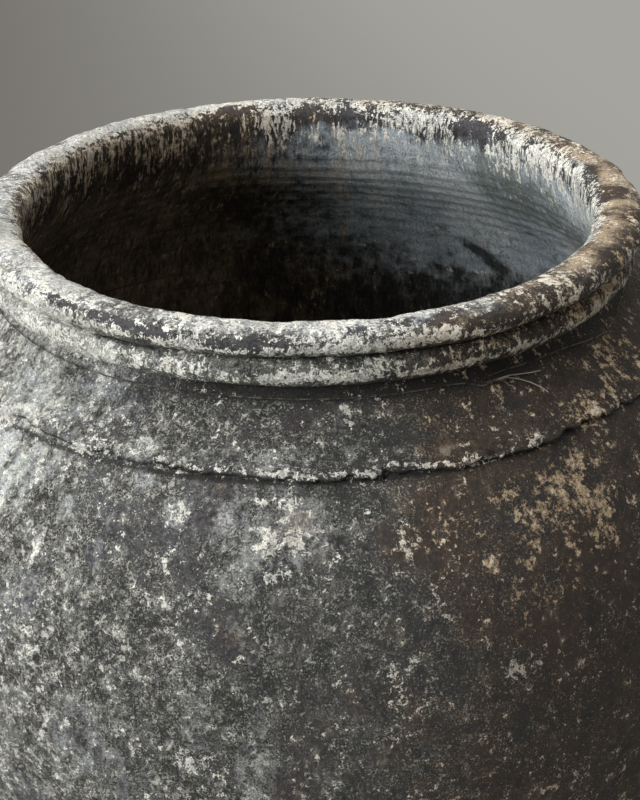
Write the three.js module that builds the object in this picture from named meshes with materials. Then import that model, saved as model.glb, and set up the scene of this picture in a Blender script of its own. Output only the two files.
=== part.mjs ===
// A weathered storage pot of dark earthenware, built up by hand in rings that are luted one on
// the next: floor, lower wall, belly, a collar lapped over the shoulder, a bead and a rolled lip.
// A thin wire is tied round the neck, under the bead. Millimetres, +Z up, ground at z = 0, axis
// on Z. Angles run round from the front, which is -Y, towards +X.
import * as THREE from 'three';

// Sizes of the vessel
const HEIGHT = 500;
const FOOT_RADIUS = 125;
const FOOT_ROUND = 4;
const FLOOR = 16;
const FOOT_SLOPE = 56;
const FOOT_FULLNESS = 0.42;
const BELLY_RADIUS = 250;
const BELLY_HEIGHT = 285;
const WALL = 12;

// Sizes of the shoulder, where the collar laps over the belly's wall
const RIDGE_RADIUS = 194;
const RIDGE_DROP = 55.5;
const SHOULDER_SLOPE = 40;
const SHOULDER_FULLNESS = 0.31;
const BELLY_FULLNESS = 0.5;
const SEAT_SLOPE = 30;
const SEAT_WALL = 10;
const LAP_LENGTH = 13;
const LAP_STEP = 2.8;
const RAGGED = 2.6;

// Sizes of the neck and the double rim
const MOUTH_RADIUS = 149;
const LIP_WIDTH = 21;
const LIP_CROWN = 8.5;
const LIP_UNDER = 6.5;
const GROOVE_DEPTH = 7.2;
const BEAD_HEIGHT = 14;
const BEAD_BULGE = 6.5;
const NECK_UNDERCUT = 1.5;
const NECK_WALL = 10.5;
const NECK_TOP_SLOPE = 58;
const NECK_FOOT_SLOPE = 34;
const NECK_FULLNESS = 0.33;

// Sizes of the tie wire and its knot
const WIRE_DIAMETER = 0.6;
const WIRE_CLEARANCE = 0.35;
const KNOT_ANGLE = 27.5;
const LOOP_DROP = 7;
const LOOP_SAG = 5.4;
const KNOT_REACH = 21;
const SAG_ANGLE = 28.5;
const SAG_SPREAD = 8.5;
const LOOP_WANDER = 0.7;
const TWIST_BELOW_LOOP = 3.4;
const TWIST_TURNS = 4.5;
const TWIST_PITCH = 2.6;
const STRAND_GAP = 0.6;

// Facets
const SEGMENTS = 72;
const LOOP_STEPS = 96;
const STEPS_PER_TURN = 8;
const WIRE_SIDES = 6;

const degrees = THREE.MathUtils.degToRad;

// A point of a profile: distance from the axis and height
function at(radius, height) {
  return new THREE.Vector2(radius, height);
}

// The direction that falls outwards at an angle below the horizontal
function falling(angle) {
  return at(Math.cos(degrees(angle)), -Math.sin(degrees(angle)));
}

// The outward side of a profile direction that falls
function squareTo(direction) {
  return at(-direction.y, direction.x);
}

function moved(point, direction, distance) {
  return point.clone().addScaledVector(direction, distance);
}

function ellipseArc(centre, across, up, start, end, steps) {
  const points = [];
  for (let i = 0; i <= steps; i += 1) {
    const angle = degrees(start + ((end - start) * i) / steps);
    points.push(at(centre.x + across * Math.cos(angle), centre.y + up * Math.sin(angle)));
  }
  return points;
}

// The inner face of a wall: the outer curve, set in by the wall and walked back
function innerFace(curve, steps, wall) {
  const points = [];
  for (let i = steps; i >= 0; i -= 1) {
    const tangent = curve.getTangent(i / steps);
    points.push(moved(curve.getPoint(i / steps), at(-tangent.y, tangent.x), wall));
  }
  return points;
}

// Turns a closed profile, which goes up outside and down inside, round the Z axis
function turned(profile) {
  const geometry = new THREE.LatheGeometry([...profile, profile[0].clone()], SEGMENTS);
  geometry.rotateX(Math.PI / 2);
  return geometry;
}

// Heights and radii that follow from the sizes
const grooveHeight = HEIGHT - LIP_CROWN - LIP_UNDER;
const neckTop = grooveHeight - BEAD_HEIGHT;
const lipCentre = at(MOUTH_RADIUS + LIP_WIDTH / 2, HEIGHT - LIP_CROWN);
const grooveRadius = MOUTH_RADIUS + LIP_WIDTH - GROOVE_DEPTH;
const neckRadius = grooveRadius - NECK_UNDERCUT;
const throatRadius = neckRadius - NECK_WALL;

// The seat is the strip of the belly's wall that the collar laps over
const downShoulder = falling(SHOULDER_SLOPE);
const downSeat = falling(SEAT_SLOPE);
const ridgeEdge = at(RIDGE_RADIUS, HEIGHT - RIDGE_DROP);
const ridgeFoot = moved(ridgeEdge, squareTo(downSeat), -LAP_STEP);
const seatTop = moved(ridgeFoot, downSeat, -LAP_LENGTH);
const seatEnd = moved(ridgeFoot, downSeat, RAGGED);
const seatInner = moved(seatTop, squareTo(downSeat), -SEAT_WALL);

const neckOutside = at(neckRadius, neckTop);
const neckSpan = neckOutside.distanceTo(ridgeEdge) * NECK_FULLNESS;
const neckCurve = new THREE.CubicBezierCurve(
  neckOutside,
  moved(neckOutside, falling(NECK_TOP_SLOPE), neckSpan),
  moved(ridgeEdge, falling(NECK_FOOT_SLOPE), -neckSpan),
  ridgeEdge,
);

const belly = at(BELLY_RADIUS, BELLY_HEIGHT);
const shoulderRise = seatEnd.y - BELLY_HEIGHT;
const shoulderCurve = new THREE.CubicBezierCurve(
  belly,
  at(BELLY_RADIUS, BELLY_HEIGHT + shoulderRise * BELLY_FULLNESS),
  moved(seatEnd, downShoulder, shoulderRise * SHOULDER_FULLNESS),
  seatEnd,
);

const wallFoot = at(FOOT_RADIUS, FLOOR);
const footRise = (BELLY_HEIGHT - FLOOR) * FOOT_FULLNESS;
const wallCurve = new THREE.CubicBezierCurve(
  wallFoot,
  moved(wallFoot, falling(-FOOT_SLOPE), footRise),
  at(BELLY_RADIUS, BELLY_HEIGHT - footRise),
  belly,
);

// A flat disc of clay with its lower edge rounded
function floorSlab() {
  const rounding = at(FOOT_RADIUS - FOOT_ROUND, FOOT_ROUND);
  return turned([
    at(0, 0),
    ...ellipseArc(rounding, FOOT_ROUND, FOOT_ROUND, -90, 0, 3),
    at(FOOT_RADIUS, FLOOR),
    at(0, FLOOR),
  ]);
}

// The wall from the floor to the belly, where the clay was left to stiffen
function lowerWall() {
  const inside = innerFace(wallCurve, 7, WALL);
  inside[inside.length - 1].y = FLOOR;
  inside[0].y = BELLY_HEIGHT;
  return turned([...wallCurve.getPoints(7), ...inside]);
}

// The wall from the belly to the shoulder, ending in the seat for the collar
function upperWall() {
  const inside = innerFace(shoulderCurve, 7, WALL);
  inside[inside.length - 1].y = BELLY_HEIGHT;
  return turned([...shoulderCurve.getPoints(7), seatTop, seatInner, ...inside]);
}

// How far down the seat the collar's torn edge reaches, at an angle round the pot
function raggedEdge(angle) {
  const lean = Math.sin(angle);
  const waves = 0.28 * Math.sin(5 * angle + 0.6) + 0.34 * Math.sin(11 * angle + 2.1);
  const nicks = 0.3 * Math.sin(17 * angle + 4.0);
  return RAGGED * 0.5 * (lean + waves + nicks);
}

// The collar from the shoulder to the bead, its lower edge torn and lying on the seat
function collar() {
  const outside = [ridgeFoot, ...neckCurve.getPoints(9).reverse()];
  const throat = at(throatRadius, neckTop);
  const inside = new THREE.CubicBezierCurve(
    throat,
    at(throatRadius, neckTop - neckSpan),
    moved(seatInner, downShoulder, -neckSpan),
    seatInner,
  );
  const profile = [...outside, ...inside.getPoints(6), seatTop];
  const geometry = turned(profile);
  const place = geometry.attributes.position;
  const row = profile.length + 1;
  for (let i = 0; i < place.count; i += 1) {
    const column = i % row;
    if (column === 0 || column === 1 || column === row - 1) {
      const angle = Math.atan2(place.getX(i), -place.getY(i));
      const reach = raggedEdge(angle);
      const radius = Math.hypot(place.getX(i), place.getY(i));
      const grown = (radius + reach * downSeat.x) / radius;
      place.setXYZ(i, place.getX(i) * grown, place.getY(i) * grown, place.getZ(i) + reach * downSeat.y);
    }
  }
  return geometry;
}

// The lower, smaller roll of the rim
function bead() {
  const centre = at(grooveRadius, neckTop + BEAD_HEIGHT / 2);
  return turned([
    at(throatRadius, neckTop),
    at(neckRadius, neckTop),
    ...ellipseArc(centre, BEAD_BULGE, BEAD_HEIGHT / 2, -90, 90, 8),
    at(throatRadius, grooveHeight),
  ]);
}

// The broad upper roll, which hangs over the groove outside and swells into the mouth
function lip() {
  const tuck = THREE.MathUtils.radToDeg(Math.acos((grooveRadius - lipCentre.x) * 2 / LIP_WIDTH));
  const under = ellipseArc(lipCentre, LIP_WIDTH / 2, LIP_UNDER, -tuck, 0, 3);
  under[0].y = grooveHeight;
  return turned([
    at(throatRadius, grooveHeight),
    ...under,
    ...ellipseArc(lipCentre, LIP_WIDTH / 2, LIP_CROWN, 0, 180, 10).slice(1),
  ]);
}

// A place on the neck: millimetres round from the knot, millimetres down from the bead, and
// the height above the clay
const neckLength = neckCurve.getLength();
const loopRadius = neckCurve.getPointAt(LOOP_DROP / neckLength).x;
function onNeck(round, down, lift) {
  const clay = neckCurve.getPointAt(down / neckLength);
  const fall = neckCurve.getTangentAt(down / neckLength);
  const place = moved(clay, squareTo(fall), lift);
  const angle = degrees(KNOT_ANGLE) + round / loopRadius;
  return new THREE.Vector3(place.x * Math.sin(angle), -place.x * Math.cos(angle), place.y);
}

const wireLift = WIRE_CLEARANCE + WIRE_DIAMETER / 2;
const strandRadius = (WIRE_DIAMETER + STRAND_GAP) / 2;
const twistLength = TWIST_TURNS * TWIST_PITCH;
const twistDrop = LOOP_DROP + TWIST_BELOW_LOOP;
const twistLow = twistDrop + strandRadius;
const twistHigh = twistDrop - strandRadius;

// Stretches that lie on the clay, each point as millimetres round and down
function laid(points) {
  return points.map(([round, down]) => onNeck(round, down, wireLift));
}

// One strand of the twist, from the knot to where the tails part. Its phase is the part of a
// turn at which it enters: a quarter is the low side, three quarters the high side
function strand(phase) {
  const points = [];
  const steps = Math.round(TWIST_TURNS * STEPS_PER_TURN);
  for (let i = 0; i <= steps; i += 1) {
    const turn = 2 * Math.PI * (phase + (TWIST_TURNS * i) / steps);
    const down = twistDrop + strandRadius * Math.sin(turn);
    const lift = wireLift + strandRadius * (1 + Math.cos(turn));
    points.push(onNeck((twistLength * i) / steps, down, lift));
  }
  return points;
}

// How far down the neck the loop lies, a turn away from the knot: it wanders, and sags beside
// the knot
function loopDrop(turnAngle) {
  const away = (turnAngle - SAG_ANGLE) / SAG_SPREAD;
  const wander = LOOP_WANDER * Math.sin(degrees(7 * turnAngle)) * Math.sin(degrees(turnAngle));
  return LOOP_DROP + wander + LOOP_SAG * Math.exp(-away * away);
}

// The loop round the neck, from left of the knot back to right of it
function loop() {
  const points = [];
  const gap = THREE.MathUtils.radToDeg(KNOT_REACH / loopRadius);
  for (let i = 0; i <= LOOP_STEPS; i += 1) {
    const away = 360 - gap - ((360 - 2 * gap) * i) / LOOP_STEPS;
    points.push(onNeck(degrees(away) * loopRadius, loopDrop(away), wireLift));
  }
  return points;
}

// The whole wire in one run: a tail, the twist, the loop, the hook, the twist and a tail
function wireRoute() {
  const upperTail = laid([
    [twistLength + 4, twistHigh + 0.5],
    [twistLength + 9, twistHigh + 1.5],
    [twistLength + 14, twistHigh + 2.4],
    [twistLength + 18, twistHigh + 2.9],
  ]);
  const lowerTail = laid([
    [twistLength + 2.8, twistLow + 0.7],
    [twistLength + 6, twistLow + 2.4],
    [twistLength + 10, twistLow + 5.4],
    [twistLength + 13.5, twistLow + 9.4],
    [twistLength + 15, twistLow + 12.6],
  ]);
  const leadIn = laid([
    [-2.6, twistLow - 0.2],
    [-5, twistLow - 1.4],
    [-9, LOOP_DROP + 0.9],
    [-15, LOOP_DROP + 0.3],
  ]);
  const hook = laid([
    [12, LOOP_DROP - 0.3],
    [6, LOOP_DROP + 0.1],
    [2, LOOP_DROP + 0.5],
    [0, LOOP_DROP + 0.8],
    [-1.2, LOOP_DROP + 1.2],
    [-1.7, LOOP_DROP + 1.8],
    [-1.2, twistHigh - 0.3],
  ]);
  const firstEndsLow = Math.sin(2 * Math.PI * (0.25 + TWIST_TURNS)) > 0;
  const tails = firstEndsLow ? [lowerTail, upperTail] : [upperTail, lowerTail];
  return [
    ...tails[0].reverse(),
    ...strand(0.25).reverse(),
    ...leadIn,
    ...loop(),
    ...hook,
    ...strand(0.75),
    ...tails[1],
  ];
}

// A closed tube round a run of points, with its section carried along without twisting
function tube(path, radius, sides) {
  const positions = [];
  const indices = [];
  let side = new THREE.Vector3(0, 0, 1);
  path.forEach((point, i) => {
    const before = path[Math.max(i - 1, 0)];
    const after = path[Math.min(i + 1, path.length - 1)];
    const ahead = after.clone().sub(before).normalize();
    side.addScaledVector(ahead, -side.dot(ahead)).normalize();
    const other = ahead.clone().cross(side);
    for (let k = 0; k < sides; k += 1) {
      const angle = (2 * Math.PI * k) / sides;
      const corner = point.clone().addScaledVector(side, radius * Math.cos(angle));
      corner.addScaledVector(other, radius * Math.sin(angle));
      positions.push(corner.x, corner.y, corner.z);
    }
    side = side.clone();
  });
  for (let i = 0; i + 1 < path.length; i += 1) {
    for (let k = 0; k < sides; k += 1) {
      const a = i * sides + k;
      const b = i * sides + ((k + 1) % sides);
      indices.push(a, b, b + sides, a, b + sides, a + sides);
    }
  }
  const last = (path.length - 1) * sides;
  for (let k = 1; k + 1 < sides; k += 1) {
    indices.push(0, k + 1, k, last, last + k, last + k + 1);
  }
  const geometry = new THREE.BufferGeometry();
  geometry.setAttribute('position', new THREE.Float32BufferAttribute(positions, 3));
  geometry.setIndex(indices);
  geometry.computeVertexNormals();
  return geometry;
}

// The least gap between stretches of the wire that are not neighbours along it
function leastGap(path) {
  const along = [0];
  for (let i = 1; i < path.length; i += 1) {
    along.push(along[i - 1] + path[i].distanceTo(path[i - 1]));
  }
  let least = Infinity;
  const piece = new THREE.Line3();
  const nearest = new THREE.Vector3();
  for (let i = 0; i < path.length; i += 1) {
    for (let k = 0; k + 1 < path.length; k += 1) {
      const between = Math.min(Math.abs(along[i] - along[k]), Math.abs(along[i] - along[k + 1]));
      if (between > TWIST_PITCH) {
        piece.set(path[k], path[k + 1]);
        piece.closestPointToPoint(path[i], true, nearest);
        least = Math.min(least, nearest.distanceTo(path[i]));
      }
    }
  }
  return least - WIRE_DIAMETER;
}

function tieWire() {
  const path = wireRoute();
  console.log(`tie wire: least gap to itself ${leastGap(path).toFixed(2)} mm`);
  return tube(path, WIRE_DIAMETER / 2, WIRE_SIDES);
}

// Finishes
const bareClay = new THREE.MeshStandardMaterial({ color: 0x3a3836, roughness: 0.9, metalness: 0 });
const crustedClay = new THREE.MeshStandardMaterial({ color: 0x4a4845, roughness: 0.95, metalness: 0 });
const limedClay = new THREE.MeshStandardMaterial({ color: 0x8d8a84, roughness: 0.95, metalness: 0 });
const rustedSteel = new THREE.MeshStandardMaterial({ color: 0x6a5a4a, roughness: 0.6, metalness: 0.8 });

function piece(name, geometry, material) {
  const mesh = new THREE.Mesh(geometry, material);
  mesh.name = name;
  return mesh;
}

const vessel = new THREE.Group();
vessel.add(piece('floor_slab', floorSlab(), bareClay));
vessel.add(piece('lower_wall', lowerWall(), bareClay));
vessel.add(piece('upper_wall', upperWall(), crustedClay));
vessel.add(piece('shoulder_collar', collar(), crustedClay));
vessel.add(piece('rim_bead', bead(), limedClay));
vessel.add(piece('rim_lip', lip(), limedClay));

const pot = new THREE.Group();
pot.add(vessel);
pot.add(piece('tie_wire', tieWire(), rustedSteel));

export default pot;
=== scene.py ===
"""Looks of a weathered storage pot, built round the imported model's frame.

Each ring of clay is remade as one closed, finely divided mesh that stands for its solid, with
the sway of the hand, the turning lines, the torn lap and the crust as real relief. What the
weather left on the clay is laid on as fields at each point, which the finishes read.

Sections are drawn in millimetres: distance from the axis and height. Turns run round from the
front (-Y) towards +X. A way is the distance along the section from the rim's crown, outwards
positive and into the pot negative.
"""

import logging
import math
from dataclasses import dataclass, field
from enum import Enum
from functools import cached_property

import bpy
import numpy as np
from mathutils import Matrix, Vector

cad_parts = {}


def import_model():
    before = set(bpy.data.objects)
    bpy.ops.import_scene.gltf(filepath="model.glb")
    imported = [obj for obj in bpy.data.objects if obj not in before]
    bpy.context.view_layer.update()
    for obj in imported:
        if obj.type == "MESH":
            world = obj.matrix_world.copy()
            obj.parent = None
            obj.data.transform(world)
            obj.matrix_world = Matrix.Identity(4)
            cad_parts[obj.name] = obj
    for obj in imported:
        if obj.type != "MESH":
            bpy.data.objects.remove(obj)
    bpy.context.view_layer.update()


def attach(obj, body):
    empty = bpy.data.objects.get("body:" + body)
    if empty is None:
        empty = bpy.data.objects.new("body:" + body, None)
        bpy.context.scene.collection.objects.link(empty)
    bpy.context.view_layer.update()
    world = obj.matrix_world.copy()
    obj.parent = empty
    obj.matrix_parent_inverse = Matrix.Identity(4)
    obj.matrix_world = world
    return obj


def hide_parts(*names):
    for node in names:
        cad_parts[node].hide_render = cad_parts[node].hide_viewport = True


LOG = logging.getLogger("storage_pot")
MM = 0.001
FULL_TURN = 2 * math.pi
SHARP_EDGE = math.radians(52)
ARC_POINTS = 121
CURVE_POINTS = 201
HALF_OF_ALL = 2.0**31
LAYER_SHIFT = 37.0
DRUM_RADIUS = 180.0
DRUM_NARROWING = 1.5
PATCH_EDGE = 1.55

Array = np.ndarray
Socket = bpy.types.NodeSocket
Colour = tuple[float, float, float]
Spot = tuple[float, float, float]
Run = tuple[tuple[float, float], ...]


class Side(Enum):
    """Which face of the clay a stretch of section is."""

    OUTER = "outer"
    INNER = "inner"
    BED = "bed"


class Body(Enum):
    """The frame's bodies."""

    VESSEL = "vessel"
    WIRE = "wire"


def falling(angle: float) -> Array:
    """The section direction that falls outwards at an angle in degrees below the horizontal."""
    steep = math.radians(angle)
    return np.array([math.cos(steep), -math.sin(steep)])


def square_to(direction: Array) -> Array:
    """The outward side of a section direction, or of a row of them, that falls."""
    return np.stack([-direction[..., 1], direction[..., 0]], axis=-1)


def smooth(values: Array | float) -> Array:
    """An even rise from 0 to 1 while values go from 0 to 1."""
    held = np.clip(values, 0.0, 1.0)
    return held * held * (3.0 - 2.0 * held)


def ellipse(centre: Array, across: float, up: float, start: float, end: float) -> Array:
    """Points along an arc, from one angle to another in degrees from the outward direction."""
    angles = np.radians(np.linspace(start, end, ARC_POINTS))
    return centre + np.stack([across * np.cos(angles), up * np.sin(angles)], axis=-1)


def bend(*corners: Array) -> Array:
    """A cubic Bezier curve in the section.

    Args:
        corners: its four control points.

    Returns:
        Points along the curve.
    """
    t = np.linspace(0.0, 1.0, CURVE_POINTS)[:, None]
    first, second, third, last = (np.asarray(corner, dtype=float) for corner in corners)
    ends = (1 - t) ** 3 * first + t**3 * last
    return ends + 3 * (1 - t) ** 2 * t * second + 3 * (1 - t) * t * t * third


def length_along(points: Array) -> Array:
    """The distance along a run of points at each of them."""
    steps = np.linalg.norm(np.diff(points, axis=0), axis=1)
    return np.concatenate([[0.0], np.cumsum(steps)])


def ahead_along(points: Array) -> Array:
    """The direction in which a run of points goes on at each of them."""
    ahead = np.gradient(points, axis=0)
    return ahead / np.linalg.norm(ahead, axis=1, keepdims=True)


@dataclass(frozen=True)
class Course:
    """A measure that runs straight from stop to stop.

    Attributes:
        stops: where it is given, rising, as turns in degrees or ways in millimetres.
        measures: what it is at each stop.
    """

    stops: tuple[float, ...]
    measures: tuple[float, ...]

    def at(self, values: Array) -> Array:
        """The measure at each value."""
        return np.interp(values, self.stops, self.measures)


@dataclass(frozen=True)
class Ramp:
    """A soft step along the section or round the pot.

    Attributes:
        start, span: where it leaves 0, and how far on it is full; span below 0 rises backwards.
        amount: what it is worth when full.
    """

    start: float
    span: float
    amount: float = 1.0

    def at(self, values: Array) -> Array:
        """What the step is worth at each value."""
        return self.amount * smooth((values - self.start) / self.span)


@dataclass(frozen=True)
class Band:
    """A stretch along the section or round the pot, with soft ends.

    Attributes:
        low, rise: where it starts, and how far on it is full.
        high, fall: where it ends, and how far before that it starts to fade.
        amount: what it is worth when full.
    """

    low: float
    rise: float
    high: float
    fall: float
    amount: float = 1.0

    def at(self, values: Array) -> Array:
        """What the stretch is worth at each value."""
        rising = smooth((values - self.low) / self.rise)
        return self.amount * rising * smooth((self.high - values) / self.fall)


@dataclass(frozen=True)
class Swell:
    """A soft line round the pot.

    Attributes:
        way, reach: its middle, and how far from there it has mostly faded.
        amount: what it is worth at its middle.
    """

    way: float
    reach: float
    amount: float = 1.0

    def at(self, ways: Array) -> Array:
        """What the line is worth at each way."""
        return self.amount * np.exp(-(((ways - self.way) / self.reach) ** 2))


@dataclass(frozen=True)
class Lumps:
    """A seeded field of soft lumps through space, in layers of ever smaller ones.

    Attributes:
        size: how far apart the largest lumps lie, in millimetres.
        seed, layers: picks the field, and how many sizes it has, each half the last.
        stretch: how much longer the lumps are in x, y and z.
        height: how high the largest of them rise.
    """

    size: float
    seed: int
    layers: int = 3
    stretch: tuple[float, float, float] = (1.0, 1.0, 1.0)
    height: float = 1.0

    @staticmethod
    def _corner(cells: Array, seed: int) -> Array:
        """One even number from -1 to 1 for each cell.

        Args:
            cells: whole coordinates, the last axis holding three.
            seed: picks the numbers.

        Returns:
            The numbers, shaped like cells without its last axis.
        """
        parts = cells.astype(np.int64).astype(np.uint32)
        mixed = parts[..., 0] * np.uint32(0x8DA6B343)
        mixed = mixed ^ (parts[..., 1] * np.uint32(0xD8163841))
        mixed = mixed ^ (parts[..., 2] * np.uint32(0xCB1AB31F))
        mixed = mixed ^ np.uint32(seed * 0x9E3779B1 & 0xFFFFFFFF)
        for shift, factor in ((15, 0x2C1B3C6D), (12, 0x297A2D39)):
            mixed = (mixed ^ (mixed >> np.uint32(shift))) * np.uint32(factor)
        mixed = mixed ^ (mixed >> np.uint32(15))
        return mixed / HALF_OF_ALL - 1.0

    @classmethod
    def _layer(cls, places: Array, seed: int) -> Array:
        """One layer of lumps a unit apart.

        Args:
            places: points, the last axis holding x, y and z.
            seed: picks the layer.

        Returns:
            Heights from -1 to 1.
        """
        low = np.floor(places)
        part = places - low
        ease = part**3 * (part * (part * 6 - 15) + 10)
        total = np.zeros(places.shape[:-1])
        for corner in np.ndindex(2, 2, 2):
            picks = np.array(corner)
            share = np.prod(np.where(picks == 1, ease, 1 - ease), axis=-1)
            total += share * cls._corner(low + picks, seed)
        return total

    def at(self, places: Array) -> Array:
        """The field's height at each place.

        Args:
            places: points in millimetres, the last axis holding x, y and z.

        Returns:
            Heights of about -1 to 1 times its own, shaped like places without its last axis.
        """
        total = np.zeros(places.shape[:-1])
        share = 1.0
        for layer in range(self.layers):
            scaled = places / (self.size * share * np.array(self.stretch)) + LAYER_SHIFT * layer
            total += share * self._layer(scaled, self.seed + layer)
            share *= 0.5
        return self.height * total


@dataclass
class Skin:
    """A grid of places on one face of the clay, rows down the section and columns round.

    Attributes:
        side: which face it is.
        turn, way: the turn of each place in radians, and its way from the crown.
        ring, out: its distance from the axis and height, and the direction out of the clay.
    """

    side: Side
    turn: Array
    way: Array
    ring: Array
    out: Array

    def spread(self, section: Array) -> Array:
        """Turns section coordinates into x, y and z at each place's own turn."""
        across, up = section[..., 0], section[..., 1]
        return np.stack([across * np.sin(self.turn), -across * np.cos(self.turn), up], axis=-1)

    def places(self) -> Array:
        """The places themselves, as x, y and z in millimetres."""
        return self.spread(self.ring)

    def unrolled(self) -> Array:
        """Places on a drum as tall as the section is long, which narrows with the floor."""
        drum = np.minimum(DRUM_RADIUS, DRUM_NARROWING * self.ring[..., 0])
        return self.spread(np.stack([drum, self.way], axis=-1))

    def away(self, turn: float, way: float) -> tuple[Array, Array]:
        """How far round and how far down each place lies from one turn in degrees and way."""
        round_off = (self.turn - math.radians(turn) + math.pi) % FULL_TURN - math.pi
        return round_off * self.ring[..., 0], self.way - way


@dataclass(frozen=True)
class Patch:
    """A stain, a crust or a bare place, given one by one.

    Attributes:
        turn, way: degrees round and millimetres from the crown to its middle.
        wide, tall: half its width and half its height in millimetres.
        amount: what it adds at its middle.
        lean: millimetres that it moves round for each millimetre down.
    """

    turn: float
    way: float
    wide: float
    tall: float
    amount: float
    lean: float = 0.0

    def on(self, skin: Skin) -> Array:
        """What the patch adds.

        Args:
            skin: the places.

        Returns:
            The amount at each place.
        """
        round_off, down = skin.away(self.turn, self.way)
        reach = np.hypot((round_off - self.lean * down) / self.wide, down / self.tall)
        return self.amount * smooth(PATCH_EDGE - reach)


Patches = tuple[Patch, ...]


@dataclass(frozen=True)
class Nub:
    """A small lump or pit that stands on the clay.

    Attributes:
        turn, way: degrees round and millimetres from the crown.
        width, height: half its width, and how far it stands out; a pit is below 0.
    """

    turn: float
    way: float
    width: float
    height: float

    def on(self, skin: Skin) -> Array:
        """How far the nub lifts each place of a skin."""
        round_off, down = skin.away(self.turn, self.way)
        return self.height * np.exp(-(round_off**2 + down**2) / self.width**2)


def patches(*rows: tuple[float, ...]) -> Patches:
    """Patches from rows of their values, in the order of the fields."""
    return tuple(Patch(*row) for row in rows)


def total(marks: tuple[Patch | Nub, ...], skin: Skin) -> Array:
    """What a set of patches or nubs adds up to at each place of a skin."""
    return sum((mark.on(skin) for mark in marks), np.zeros_like(skin.way))


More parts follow.
